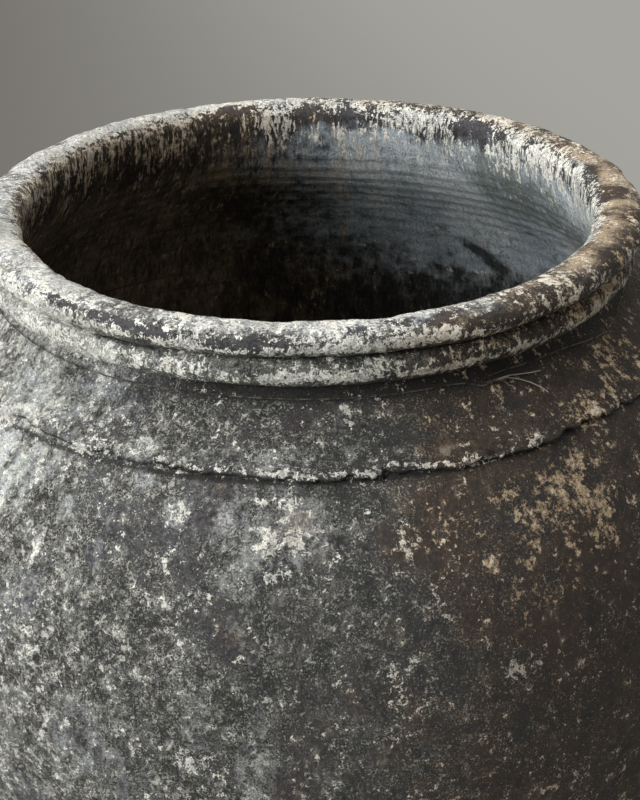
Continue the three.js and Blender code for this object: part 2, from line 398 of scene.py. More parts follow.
@dataclass(frozen=True)
class Profile:
    """The pot's section, with the sizes that its solids have, in millimetres and degrees."""

    height: float = 500.0
    mouth_radius: float = 149.0
    lip_width: float = 21.0
    lip_crown: float = 8.5
    lip_under: float = 6.5
    groove_depth: float = 7.2
    bead_height: float = 14.0
    bead_bulge: float = 6.5
    neck_undercut: float = 1.5
    neck_top_slope: float = 58.0
    neck_foot_slope: float = 34.0
    neck_fullness: float = 0.33
    ridge_radius: float = 194.0
    ridge_drop: float = 55.5
    shoulder_slope: float = 40.0
    shoulder_fullness: float = 0.31
    seat_slope: float = 30.0
    seat_wall: float = 10.0
    lap_length: float = 13.0
    lap_step: float = 2.8
    ragged: float = 2.6
    belly_radius: float = 250.0
    belly_height: float = 285.0
    belly_fullness: float = 0.5
    wall: float = 12.0
    bend_height: float = 402.0
    inner_softness: float = 0.46
    floor: float = 16.0
    foot_radius: float = 125.0
    foot_round: float = 4.0
    foot_slope: float = 56.0
    foot_fullness: float = 0.42

    @property
    def groove_height(self) -> float:
        """Height of the bed between lip and bead."""
        return self.height - self.lip_crown - self.lip_under

    @property
    def neck_top(self) -> float:
        """Height of the bed between bead and collar."""
        return self.groove_height - self.bead_height

    @property
    def groove_radius(self) -> float:
        """How far from the axis the groove's bottom lies."""
        return self.mouth_radius + self.lip_width - self.groove_depth

    @property
    def lip_centre(self) -> Array:
        """Middle of the lip's roll."""
        return np.array([self.mouth_radius + self.lip_width / 2, self.height - self.lip_crown])

    @property
    def ridge_edge(self) -> Array:
        """The collar's lowest outer edge."""
        return np.array([self.ridge_radius, self.height - self.ridge_drop])

    @property
    def ridge_foot(self) -> Array:
        """Where the collar's edge meets the belly's wall."""
        return self.ridge_edge - self.lap_step * square_to(falling(self.seat_slope))

    @property
    def seat_top(self) -> Array:
        """The upper end of the strip that the collar laps over."""
        return self.ridge_foot - self.lap_length * falling(self.seat_slope)

    @property
    def seat_end(self) -> Array:
        """The lower end of that strip."""
        return self.ridge_foot + self.ragged * falling(self.seat_slope)

    @property
    def seat_inner(self) -> Array:
        """The inner edge of the belly's wall under the collar."""
        return self.seat_top - self.seat_wall * square_to(falling(self.seat_slope))

    def neck(self) -> Array:
        """The collar's outer curve.

        Returns:
            Points from the bead down to the ridge.
        """
        start = np.array([self.groove_radius - self.neck_undercut, self.neck_top])
        span = np.linalg.norm(self.ridge_edge - start) * self.neck_fullness
        top = start + span * falling(self.neck_top_slope)
        return bend(start, top, self.ridge_edge - span * falling(self.neck_foot_slope), self.ridge_edge)

    def inner(self, low: float, high: float) -> tuple[Array, float]:
        """Part of the one soft curve inside, from the belly up to the lip.

        Args:
            low: the height at which the part starts.
            high: the height at which it ends.

        Returns:
            Points up the curve, and the way from the crown at the first of them.
        """
        wall = self.shoulder(inside=True)
        wall = wall[wall[:, 1] < self.bend_height]
        top = np.array([self.mouth_radius, self.lip_centre[1]])
        ahead = wall[-1] - wall[-2]
        rise = self.inner_softness * (top[1] - wall[-1][1])
        start = wall[-1] + rise * ahead / np.linalg.norm(ahead)
        curve = np.concatenate([wall, bend(wall[-1], start, top - np.array([0.0, rise]), top)[1:]])
        crown = ellipse(self.lip_centre, self.lip_width / 2, self.lip_crown, 180.0, 90.0)
        ways = length_along(curve) - length_along(curve)[-1] - length_along(crown)[-1]
        between = curve[(curve[:, 1] > low + 0.2) & (curve[:, 1] < high - 0.2)]
        ends = [[np.interp(height, curve[:, 1], curve[:, 0]), height] for height in (low, high)]
        return np.concatenate([ends[:1], between, ends[1:]]), float(np.interp(low, curve[:, 1], ways))

    def shoulder(self, inside: bool = False) -> Array:
        """The upper wall's curve.

        Args:
            inside: the inner face, from the belly up, and not the outer one, which goes down.

        Returns:
            Points along the curve.
        """
        end = self.seat_inner if inside else self.seat_end
        belly = np.array([self.belly_radius - (self.wall if inside else 0.0), self.belly_height])
        rise = end[1] - self.belly_height
        high = end + rise * self.shoulder_fullness * falling(self.shoulder_slope)
        curve = bend(end, high, belly + np.array([0.0, rise * self.belly_fullness]), belly)
        return curve[::-1] if inside else curve

    def foot_wall(self, inside: bool = False) -> Array:
        """The lower wall's curve.

        Args:
            inside: the inner face, from the floor up, and not the outer one, which goes down.

        Returns:
            Points along the curve.
        """
        thick = self.wall if inside else 0.0
        foot = np.array([self.foot_radius - thick, self.floor])
        belly = np.array([self.belly_radius - thick, self.belly_height])
        rise = (self.belly_height - self.floor) * self.foot_fullness
        low = foot + rise * falling(-self.foot_slope)
        curve = bend(belly, belly - np.array([0.0, rise]), low, foot)
        return curve[::-1] if inside else curve


PROFILE = Profile()


@dataclass(frozen=True)
class OuterMarks:
    """What lies on the outside of the pot, the crown included.

    Attributes:
        crusts, ochres, veils: pale crust, partly a painted highlight along the ridge's top edge,
            beige crust and thin pale films.
        cloud, runs, sandy: soft lumps that pale and beige crust follow; runs are drawn out downwards.
        cloud, runs, sandy: soft lumps that the crusts follow; runs are drawn out downwards.
        pale_side, brown_side: how far a turn lies on the pale left side or the dark brown right side;
        partly the clay's own colours, partly painted light on the left and painted shade on the right.
        limed, limed_left, spared_right, lime_cloud, lime_runs: what the pale crust is made of.
        sanded, sanded_right: the same of the beige crust.
        warmth, gritty: how brown a turn is, darkest on the right partly as painted shade, and how
        much grit sticks to it.
        dry_crown, dry_turns, dry_lime, dry_haze: the crown worn dry, and what that changes.
        cooled_crown, cooled_turns: where the crown has lost its brown.
        film, film_left, film_right, film_runs: the thin film, and how far it runs down.
        clear_neck, clear_turns, dusty_crown: where the film is thin, and where it is thick.
        under_bead_shade, groove_shade, ridge_shade_and_soil: painted shade under the bead and in the groove,
        and painted shade with a little contact dirt under the ridge; neck_turns, groove_turns and
        ridge_fade say at which turns.
        mossy, combed: where growth lies on the rim, and where marks run down it.
        hidden_turns, hidden_ways: where broad patches take over, behind and low down.
        hidden_lumps, hidden_seeds: their size and layers, and what picks them.
        hidden_lime, hidden_ochre, hidden_haze: what they add to crusts and film.
        foot, foot_runs, foot_ochre: the wall above the foot, and what is added there.
    """

    crusts_and_highlights: Patches = patches(
        (-48, 30, 30, 11, 0.6), (-42, 40, 26, 10, 0.45), (-12, 15, 40, 2.5, 0.25),
        (12, 15, 26, 2.5, 0.25), (-16.5, 32, 6, 4, 0.4), (-11, 31, 26, 3, -0.22), (-4, 36, 16, 2, 0.3),
        (4, 36, 12, 2.4, 0.25), (-34, 33, 24, 4.5, 0.35), (-26, 20, 34, 3.5, -0.22), (9, 33, 11, 4, 0.3),
        # The next three rows lie along the ridge's top edge: pale crust, partly a painted highlight.
        (-22.5, 82, 6, 5, 0.5), (-21, 93, 3, 3.5, 0.5), (-28, 85, 10, 1.6, 0.3), (-41, 84, 20, 2, 0.45),
        (-47, 86, 8, 3, 0.35), (-15, 88, 18, 1.6, 0.45), (-4, 88, 12, 1.6, 0.5), (6, 87, 26, 1.3, 0.4),
        (16, 88, 10, 1.5, 0.55), (23, 90, 10, 1.2, 0.7), (30.5, 87, 5, 3, 0.7),
        (-35.6, 104, 2.4, 11, 0.45), (-36.8, 112, 1.6, 7, 0.45), (-38.1, 116, 1.6, 8, 0.45),
        (-39.6, 119, 1.8, 8, 0.4), (-41.2, 99, 2.4, 7, 0.45), (-16, 106, 4, 6, 0.3),
        (-32.1, 135.5, 1.1, 8.5, 2.2, -0.2), (-29, 218, 1.3, 8, 0.9, -0.3), (11, 117, 5, 7, 0.42),
        (5.4, 63, 1.8, 7, 0.75, 0.15), (-13, 215, 7, 6, 0.6), (-7, 210, 5, 22, 0.3),
        (22, 181, 9, 6, 0.45), (8, 183, 4, 14, 0.35), (-31, 190, 18, 32, 0.22), (-3, 112, 14, 16, 0.22),
        (33, 64, 1, 2.2, 1, -0.4), (-3.1, 99.5, 6, 3.5, 0.5), (-6.2, 100.5, 4, 3, 0.45),
        (-4.6, 117, 3, 5, 0.65), (-2, 115.5, 4, 4.5, 0.6), (-7.5, 132.5, 2, 7, 0.5),
        (-3.9, 130.5, 7, 3, 0.6), (-15.4, 106.8, 3, 5, 0.6), (-46, 90, 8, 4, 0.45),
        (20, 38, 14, 1.8, 0.5), (30, 37, 14, 1.8, 0.5), (42, 38, 16, 2.2, 0.35), (56, 38, 18, 3, 0.35),
    )
    ochres: Patches = patches(
        (34, 111, 20, 14, 0.42), (30, 106, 22, 5, 0.35), (33, 126, 16, 14, 0.36),
        (36, 136, 7, 12, 0.4, 0.1), (26, 126, 9, 14, 0.4, -0.5), (21, 134, 12, 4, 0.35),
        (24, 110, 7, 8, 0.35), (17, 112, 18, 9, 0.32), (14, 121, 18, 10, 0.28), (21, 150, 16, 12, 0.22),
        (30, 152, 18, 14, 0.2), (44, 82, 26, 6, 0.45), (55, 70, 22, 9, 0.35), (40, 88, 14, 4, 0.4),
        (27, 34, 14, 5, 0.4), (20, 35, 10, 5, 0.3), (52, 32, 26, 9, 0.5), (60, 16, 24, 9, 0.4),
        (44, 14, 16, 6, 0.35), (29, 15, 16, 3, 0.35), (18, 15, 14, 2.5, 0.3), (9, 16, 12, 2, 0.3),
        (146, 8, 24, 5, 0.9), (-6, 13, 6, 4, 0.3),
    )
    veils: Patches = patches(
        (-5, 112, 22, 22, 0.32), (-10, 33, 30, 5, 0.35), (-34, 33, 30, 6, 0.4), (-8, 132, 8, 9, 0.35),
        (-6, 212, 8, 26, 0.5), (1, 110, 12, 12, 0.2), (-45, 60, 46, 26, 0.35), (-42, 108, 30, 30, 0.35),
        (-22.5, 84, 7, 7, 0.7), (-21, 95, 4, 5, 0.7), (-37, 106, 5, 14, 0.8), (-39.5, 112, 3, 12, 0.9),
        (-42.5, 104, 4, 14, 0.9), (-34, 98, 3, 8, 0.7), (-30, 116, 3, 7, 0.7), (-16, 106, 5, 7, 0.6),
        (-10, 106, 4, 6, 0.5), (0, 82, 60, 6, 0.3), (5, 64, 7, 12, 0.3), (10, 34, 18, 5, 0.5),
        (-34, 36, 44, 8, 0.65), (-12, 196, 6, 20, 0.2), (-28, 205, 40, 60, 0.2),
    )
    nubs: tuple[Nub, ...] = (
        Nub(-4.6, 109, 2.2, 0.8), Nub(-3.2, 117, 3, 1.3), Nub(-4.9, 118, 2.4, 1),
        Nub(-4, 117, 1.6, -1.2), Nub(-7.4, 111, 2.4, 0.8), Nub(-2.2, 105, 2.6, 0.8),
        Nub(-5.8, 127, 3.2, 0.7), Nub(-1, 124, 2, 0.6), Nub(-3.6, 59, 1.6, 0.9),
        Nub(-4.2, 66, 1.6, 0.9), Nub(-5, 69, 1.4, 0.7), Nub(-10.6, 80, 2, 0.6),
        Nub(-16, 106, 3.2, 0.8), Nub(9.2, 89, 2, -1.6), Nub(24, 88, 2.2, -1.8),
        Nub(10.8, 119, 2.6, 0.7),
    )
    cloud: Lumps = Lumps(24, 51)
    runs: Lumps = Lumps(16.0, 57, 3, (1, 1, 3))
    sandy: Lumps = Lumps(30, 61, height=0.12)
    # Partly the clay's own colours, partly painted light on the left and painted shade on the right.
    pale_side: Course = Course((-180, -95, -55, -34, -18, 180), (0.2, 0.9, 1, 0.45, 0, 0))
    brown_side: Course = Course((-180, 0, 14, 34, 60, 150, 180), (0, 0, 0.2, 0.8, 1, 0.6, 0.3))
    # Its small rise near way 88 is a pale line along the ridge's edge: partly crust, partly a painted
    # highlight.
    limed: Course = Course(
        (-12, -6, 4, 8, 12, 15, 18, 24, 28, 32, 35, 38, 41, 46, 60, 84, 88, 92, 110, 240, 400, 560),
        (0.12, 0.02, -0.02, -0.08, 0.0, 0.26, -0.25, -0.5, -0.4, -0.16, -0.12, 0.14, -0.35, -0.64, -0.64,
         -0.55, -0.4, -0.66, -0.62, -0.58, -0.56, -0.6),
    )
    limed_left: Course = Course((0, 14, 26, 44, 90, 240, 400), (0.2, 0.3, 0.6, 0.4, 0.12, 0.1, 0.05))
    spared_right: Course = Course((-8, 0, 8, 14, 24, 44, 90, 240), (0, 0.1, 0.2, 0.22, 0.3, 0.3, 0.2, 0.15))
    sanded: float = -0.75
    sanded_right: Course = Course((0, 10, 20, 40, 60, 240, 400), (0.1, 0.45, 0.5, 0.5, 0.3, 0.25, 0.2))
    # Brown darkest on the right: partly the clay's own, partly painted shade.
    warmth: Course = Course(
        (-180, -120, -70, -30, 5, 20, 40, 70, 140, 180),
        (0.5, 0.3, 0.1, 0, 0.3, 0.8, 1, 1, 0.8, 0.5),
    )
    gritty: Course = Course((-180, -60, -30, 0, 20, 40, 180), (0.5, 0.9, 0.7, 0.4, 0.1, -0.1, 0.3))
    dry_crown: Swell = Swell(-1, 8)
    dry_turns: Band = Band(40, 20, 118, 16)
    dry_lime: float = 0.4
    dry_haze: float = 0.3
    cooled_crown: Swell = Swell(1, 9, 0.6)
    cooled_turns: Ramp = Ramp(50, -30)
    film: float = 0.1
    film_left: float = 0.28
    film_right: float = 0.2
    film_runs: tuple[float, float] = (0.8, 0.35)
    clear_neck: Swell = Swell(64, 20, 0.14)
    clear_turns: Ramp = Ramp(-30, 24)
    dusty_crown: Swell = Swell(-1, 10, 0.95)
    lime_cloud: float = 0.1
    lime_runs: float = 0.12
    # Painted shade under the bead and in the groove; under the ridge, painted shade and a little contact
    # dirt.
    under_bead_shade: Band = Band(40, 3, 62, 12, 0.95)
    neck_turns: Ramp = Ramp(-27, 14)
    groove_shade: Swell = Swell(25, 3.5, 0.8)
    groove_turns: Ramp = Ramp(-22, 12)
    ridge_shade_and_soil: Swell = Swell(90.5, 1.8, 0.85)
    ridge_fade: Ramp = Ramp(60, 20, 0.4)
    mossy: Band = Band(6, 8, 48, 8, 0.75)
    combed: Ramp = Ramp(2, -10, 0.5)
    hidden_turns: Ramp = Ramp(58, 24)
    hidden_ways: Ramp = Ramp(250, 60)
    hidden_lumps: tuple[float, int] = (120, 3)
    hidden_seeds: tuple[int, int, int] = (63, 67, 69)
    hidden_lime: tuple[float, float] = (0.4, -0.1)
    hidden_ochre: tuple[float, float] = (0.45, 0.05)
    hidden_haze: float = 0.5
    foot: Ramp = Ramp(440, 60)
    foot_runs: float = 0.25
    foot_ochre: float = 0.3

    def painted(self, skin: Skin) -> dict[str, Array]:
        """The fields that the finishes read.

        Args:
            skin: the places.

        Returns:
            Named fields; a crust shows where its field is above 0.
        """
        turn, way = np.degrees(skin.turn), skin.way
        # The paler left and darker right: partly real, partly painted light and painted shade.
        left, right = self.pale_side.at(turn), self.brown_side.at(turn)
        runs = self.runs.at(skin.unrolled())
        crown = self.dry_crown.at(way) * self.dry_turns.at(turn)
        foot = self.foot.at(way)
        warm = self.warmth.at(turn)
        hidden = self._hidden(skin)
        none = np.zeros_like(way)
        lime = self.limed.at(way) + left * self.limed_left.at(way) - right * self.spared_right.at(way)
        lime = lime + self.lime_cloud * self.cloud.at(skin.places()) + self.lime_runs * runs
        lime = lime + total(self.crusts_and_highlights, skin) - self.dry_lime * crown
        ochre = self.sanded + right * self.sanded_right.at(way)
        ochre = ochre + self.sandy.at(skin.places()) + total(self.ochres, skin)
        haze = self.film + self.film_left * left - self.film_right * right
        haze = haze + total(self.veils, skin) + self.dry_haze * crown
        haze = haze - self.clear_neck.at(way) * self.clear_turns.at(turn) + self.dusty_crown.at(way)
        even, running = self.film_runs
        return {
            "lime": lime + hidden["lime"] + self.foot_runs * foot * runs,
            "ochre": ochre + hidden["ochre"] + self.foot_ochre * foot,
            "warm": warm - warm * self.cooled_crown.at(way) * self.cooled_turns.at(turn),
            "haze": (haze + hidden["haze"]) * (even + running * runs),
            "grit": self.gritty.at(turn) + none,
            "deep_tone_and_light": none,
            # Painted shade under the bead, in the groove and under the ridge.
            "grime_and_shade": self._shade_and_soil(turn, way),
            "cold": none,
            "moss": self.mossy.at(way) * (1 - right),
            "streak": self.combed.at(way),
        }

    def _hidden(self, skin: Skin) -> dict[str, Array]:
        """The broad patches at the back and low on the wall.

        Args:
            skin: the places.

        Returns:
            What they add to the fields of pale crust, beige crust and film.
        """
        size, layers = self.hidden_lumps
        lime, ochre, haze = (Lumps(size, seed, layers).at(skin.places()) for seed in self.hidden_seeds)
        behind = self.hidden_turns.at(np.abs(np.degrees(skin.turn)))
        hidden = np.maximum(behind, self.hidden_ways.at(skin.way))
        return {
            "lime": hidden * (self.hidden_lime[0] * lime + self.hidden_lime[1]),
            "ochre": hidden * (self.hidden_ochre[0] * ochre + self.hidden_ochre[1]),
            "haze": hidden * self.hidden_haze * haze,
        }

    def _shade_and_soil(self, turn: Array, way: Array) -> Array:
        """The painted shade under the bead and in the groove, and painted shade with dirt under the ridge.

        Args:
            turn: each place's turn in degrees.
            way: its way from the crown.

        Returns:
            The dirt at each place.
        """
        neck = self.under_bead_shade.at(way) * self.neck_turns.at(turn)
        groove = self.groove_shade.at(way) * self.groove_turns.at(turn)
        return neck + groove + self.ridge_shade_and_soil.at(way) * (1.0 - self.ridge_fade.at(np.abs(turn)))


@dataclass(frozen=True)
class InnerMarks:
    """What lies inside the mouth and the pot.

    Attributes:
        limes, scar, veils, mosses: pale marks, a dark one, pale films and olive stains.
        cloud, runs, curls, curl: lumps that the marks follow, and how sharply some curl.
        bright, tanned, shaded, warmth: how far a turn lies where the window's light falls, and the
        blue film there is partly painted light; how tan it is, how far it lies in shade, and how
        brown it is.
        limed, tanned_lime, lime_worth: what the pale crust is made of.
        sanded, tanned_ochre, ochre_worth: the same of the beige crust.
        film_worth: a film's mean strength, and how far it follows runs and soft lumps.
        grit, growth: the grit everywhere, and what the light adds to the olive stains.
        blackened, cooled, combed: how deep the lighter brown tone, the blue film and the runs lie.
        scar_most, clean: the most that the dark mark is worth, and how far dirt is held back.
        lined, lined_worth: where dirt lies in the turning lines, and what it is worth.
        wheel, finer, drift, fine_drift: how far apart the coarse turning lines are, the fine
            ones against these, and how both wander.
        even_radius: how far from the axis the floor starts to even out, in millimetres.
    """

    limes: Patches = patches(
        (-140, 0, 60, 7, 0.15), (101, -14, 14, 12, 0.2), (112, -18, 16, 12, 0.18),
        (124, -18, 18, 11, 0.18), (133, -24, 10, 9, 0.2), (152, -14, 14, 6, 0.25),
        (162, -20, 22, 8, 0.15), (176, -28, 12, 8, 0.25), (186, -22, 14, 10, 0.25),
        (100, -42, 6, 26, 0.5), (106, -46, 3, 26, 0.4), (112, -58, 3, 24, 0.4, 0.3),
        (118, -74, 2.5, 26, 0.4, 0.3), (155.9, -128.1, 1.4, 1.4, 2.6), (160.2, -133.7, 1.6, 1.6, 2.6),
        (157.9, -125.2, 1.2, 1.2, 2.6), (170.1, -150.6, 1.4, 1.4, 2.6), (171.5, -146.8, 1.4, 1.4, 2.6),
        (168.5, -147.2, 1.2, 1.2, 2.6), (174.8, -176.6, 1.4, 1.4, 2.6), (162.3, -174.1, 2, 2, 2.6),
        (154.6, -166.3, 2, 2, 2.6), (150.5, -162.8, 2.2, 2.2, 2.6), (148.8, -163.8, 2.8, 2.8, 2.6),
        (124, -1, 13, 5, 0.7),
    )
    scar: Patches = patches(
        (150, -140, 8, 8, 0.75, 1.1), (146.9, -149, 13, 9, 0.75, 0.8), (144.6, -161, 9, 10, 0.6, 0.6),
    )
    veils: Patches = patches(
        (151, -48, 20, 24, 0.7), (150, -80, 22, 34, 1.3), (166, -40, 30, 20, 0.45),
        (168, -76, 24, 34, 0.75), (146, -112, 26, 24, 0.7), (128, -108, 22, 26, 0.7),
        (104, -44, 14, 34, 0.7), (114, -78, 14, 34, 0.6, 0.2), (-174, -58, 38, 24, 0.6),
        (-160, -48, 34, 22, 0.5), (144, -158, 22, 14, 0.4), (128, -30, 30, 8, 0.3),
    )
    mosses: Patches = patches(
        (133, -50, 20, 26, 0.9), (122, -62, 26, 34, 0.8), (136, -86, 12, 20, 0.5), (146, -24, 8, 12, 0.5),
        (160, -84, 6, 22, 0.35), (171, -60, 6, 26, 0.3),
    )
    cloud: Lumps = Lumps(20, 71)
    runs: Lumps = Lumps(12.0, 77, 3, (1, 1, 4))
    curls: Lumps = Lumps(11.0, 85, 2, (1, 1, 2.4))
    curl: float = 3.0
    # Painted light: the turns inside where the window's light falls, on which the blue film is brighter.
    bright: Course = Course(
        (0, 60, 90, 130, 165, 182, 200, 300, 360), (0.3, 0.6, 1, 1, 1, 0.5, 0.1, 0, 0.3)
    )
    tanned: Course = Course((0, 60, 160, 178, 200, 265, 320, 360), (0.3, 0, 0, 0.6, 1, 1, 0.5, 0.3))
    shaded: Course = Course((0, 90, 150, 190, 215, 300, 340), (0.4, 0.1, 0.1, 0.4, 1, 1, 0.4))
    warmth: Course = Course((0, 90, 150, 180, 205, 300, 360), (0.8, 0.2, 0, 0.35, 0.9, 1, 0.8))
    limed: Course = Course((0, 8, 14, 24, 34, 48, 80, 110), (0.4, 0.15, 0, -0.1, -0.4, -0.7, -1, -1.5))
    tanned_lime: Course = Course((0, 6, 12, 24, 60), (0.1, 0.25, 0.3, 0.4, 0.3))
    lime_worth: tuple[float, float, float] = (0.08, 0.1, 0.16)
    sanded: tuple[float, float] = (-1.1, 0.35)
    tanned_ochre: Course = Course(
        (0, 5, 12, 26, 38, 60, 90, 130), (0.3, 0.8, 0.9, 0.75, 0.5, 0.35, 0.25, 0.1)
    )
    ochre_worth: tuple[float, float] = (0.2, 0.14)
    film_worth: tuple[float, float, float] = (0.85, 0.4, 0.25)
    grit: float = 0.1
    # Painted light deep inside: a lighter brown on the shaded side, partly the clay's own; a pale blue film
    # on the lit side, partly real.
    deep_tone_depths: Ramp = Ramp(24, 50)
    cooled: Band = Band(10, 22, 210, 80)
    growth: float = 0.3
    combed: Ramp = Ramp(8, 10)
    scar_most: float = 1.2
    clean: float = 0.25
    lined: Ramp = Ramp(40, 30)
    lined_worth: tuple[float, float, float] = (0.8, 0.4, 0.7)
    wheel: float = 11.0
    finer: float = 0.37
    drift: Lumps = Lumps(60, 33, 2, height=3)
    fine_drift: float = 0.6
    even_radius: float = 115.0

    def turned(self, skin: Skin) -> tuple[Array, Array]:
        """The turning lines inside.

        Args:
            skin: the places.

        Returns:
            The coarse and the fine lines at each place, each from -1 to 1.
        """
        drift = self.drift.at(skin.unrolled())
        coarse = np.sin((skin.way + drift) * FULL_TURN / self.wheel)
        fine = np.sin((skin.way + self.fine_drift * drift) * FULL_TURN / (self.finer * self.wheel) + 1.0)
        return coarse, fine

    def evened(self, course: Course, skin: Skin) -> Array:
        """A measure that changes round the inside, and is the same in the middle of the floor.

        Args:
            course: the measure from turn 0 to 360.
            skin: the places.

        Returns:
            The measure at each place.
        """
        measure = course.at(np.degrees(skin.turn) % 360.0)
        middle = sum(course.measures) / len(course.measures)
        return middle + (measure - middle) * smooth(skin.ring[..., 0] / self.even_radius)

    def painted(self, skin: Skin) -> dict[str, Array]:
        """The fields that the finishes read.

        Args:
            skin: the places.

        Returns:
            Named fields; a crust shows where its field is above 0.
        """
        deep = -skin.way
        cloud = self.cloud.at(skin.places())
        runs = self.runs.at(skin.unrolled())
        curls = 1.0 - self.curl * np.abs(self.curls.at(skin.unrolled()))
        bright = self.evened(self.bright, skin)
        tan = self.evened(self.tanned, skin)
        by_cloud, by_runs, by_curls = self.lime_worth
        lime = self.limed.at(deep) - tan * self.tanned_lime.at(deep)
        lime = lime + by_cloud * cloud + by_runs * runs + by_curls * curls + total(self.limes, skin)
        ochre = self.sanded[0] + self.sanded[1] * tan + tan * self.tanned_ochre.at(deep)
        ochre = ochre + self.ochre_worth[0] * runs + self.ochre_worth[1] * curls
        even, running, clouded = self.film_worth
        haze = total(self.veils, skin) * (even + running * runs + clouded * cloud)
        scarred = np.minimum(total(self.scar, skin), self.scar_most)
        return {
            "lime": lime,
            "ochre": ochre,
            "warm": self.evened(self.warmth, skin),
            "haze": haze,
            "grit": np.full_like(deep, self.grit),
            # Lighter brown deep inside on the shaded side: partly the clay's own, partly painted light.
            "deep_tone_and_light": self.deep_tone_depths.at(deep) * self.evened(self.shaded, skin),
            "grime_and_shade": scarred - self.clean + tan * self._lined(skin),
            # Pale blue film on the lit turns: partly a real film, partly painted light.
            "cold": bright * self.cooled.at(deep),
            "moss": total(self.mosses, skin) + self.growth * bright * smooth(cloud),
            "streak": self.combed.at(deep),
        }

    def _lined(self, skin: Skin) -> Array:
        """The dirt that lies in the turning lines.

        Args:
            skin: the places.

        Returns:
            The dirt at each place, on tan clay.
        """
        coarse, fine = self.turned(skin)
        in_coarse, in_fine, worth = self.lined_worth
        held = np.maximum(-in_coarse * coarse - in_fine * fine, 0.0)
        return worth * self.lined.at(-skin.way) * held


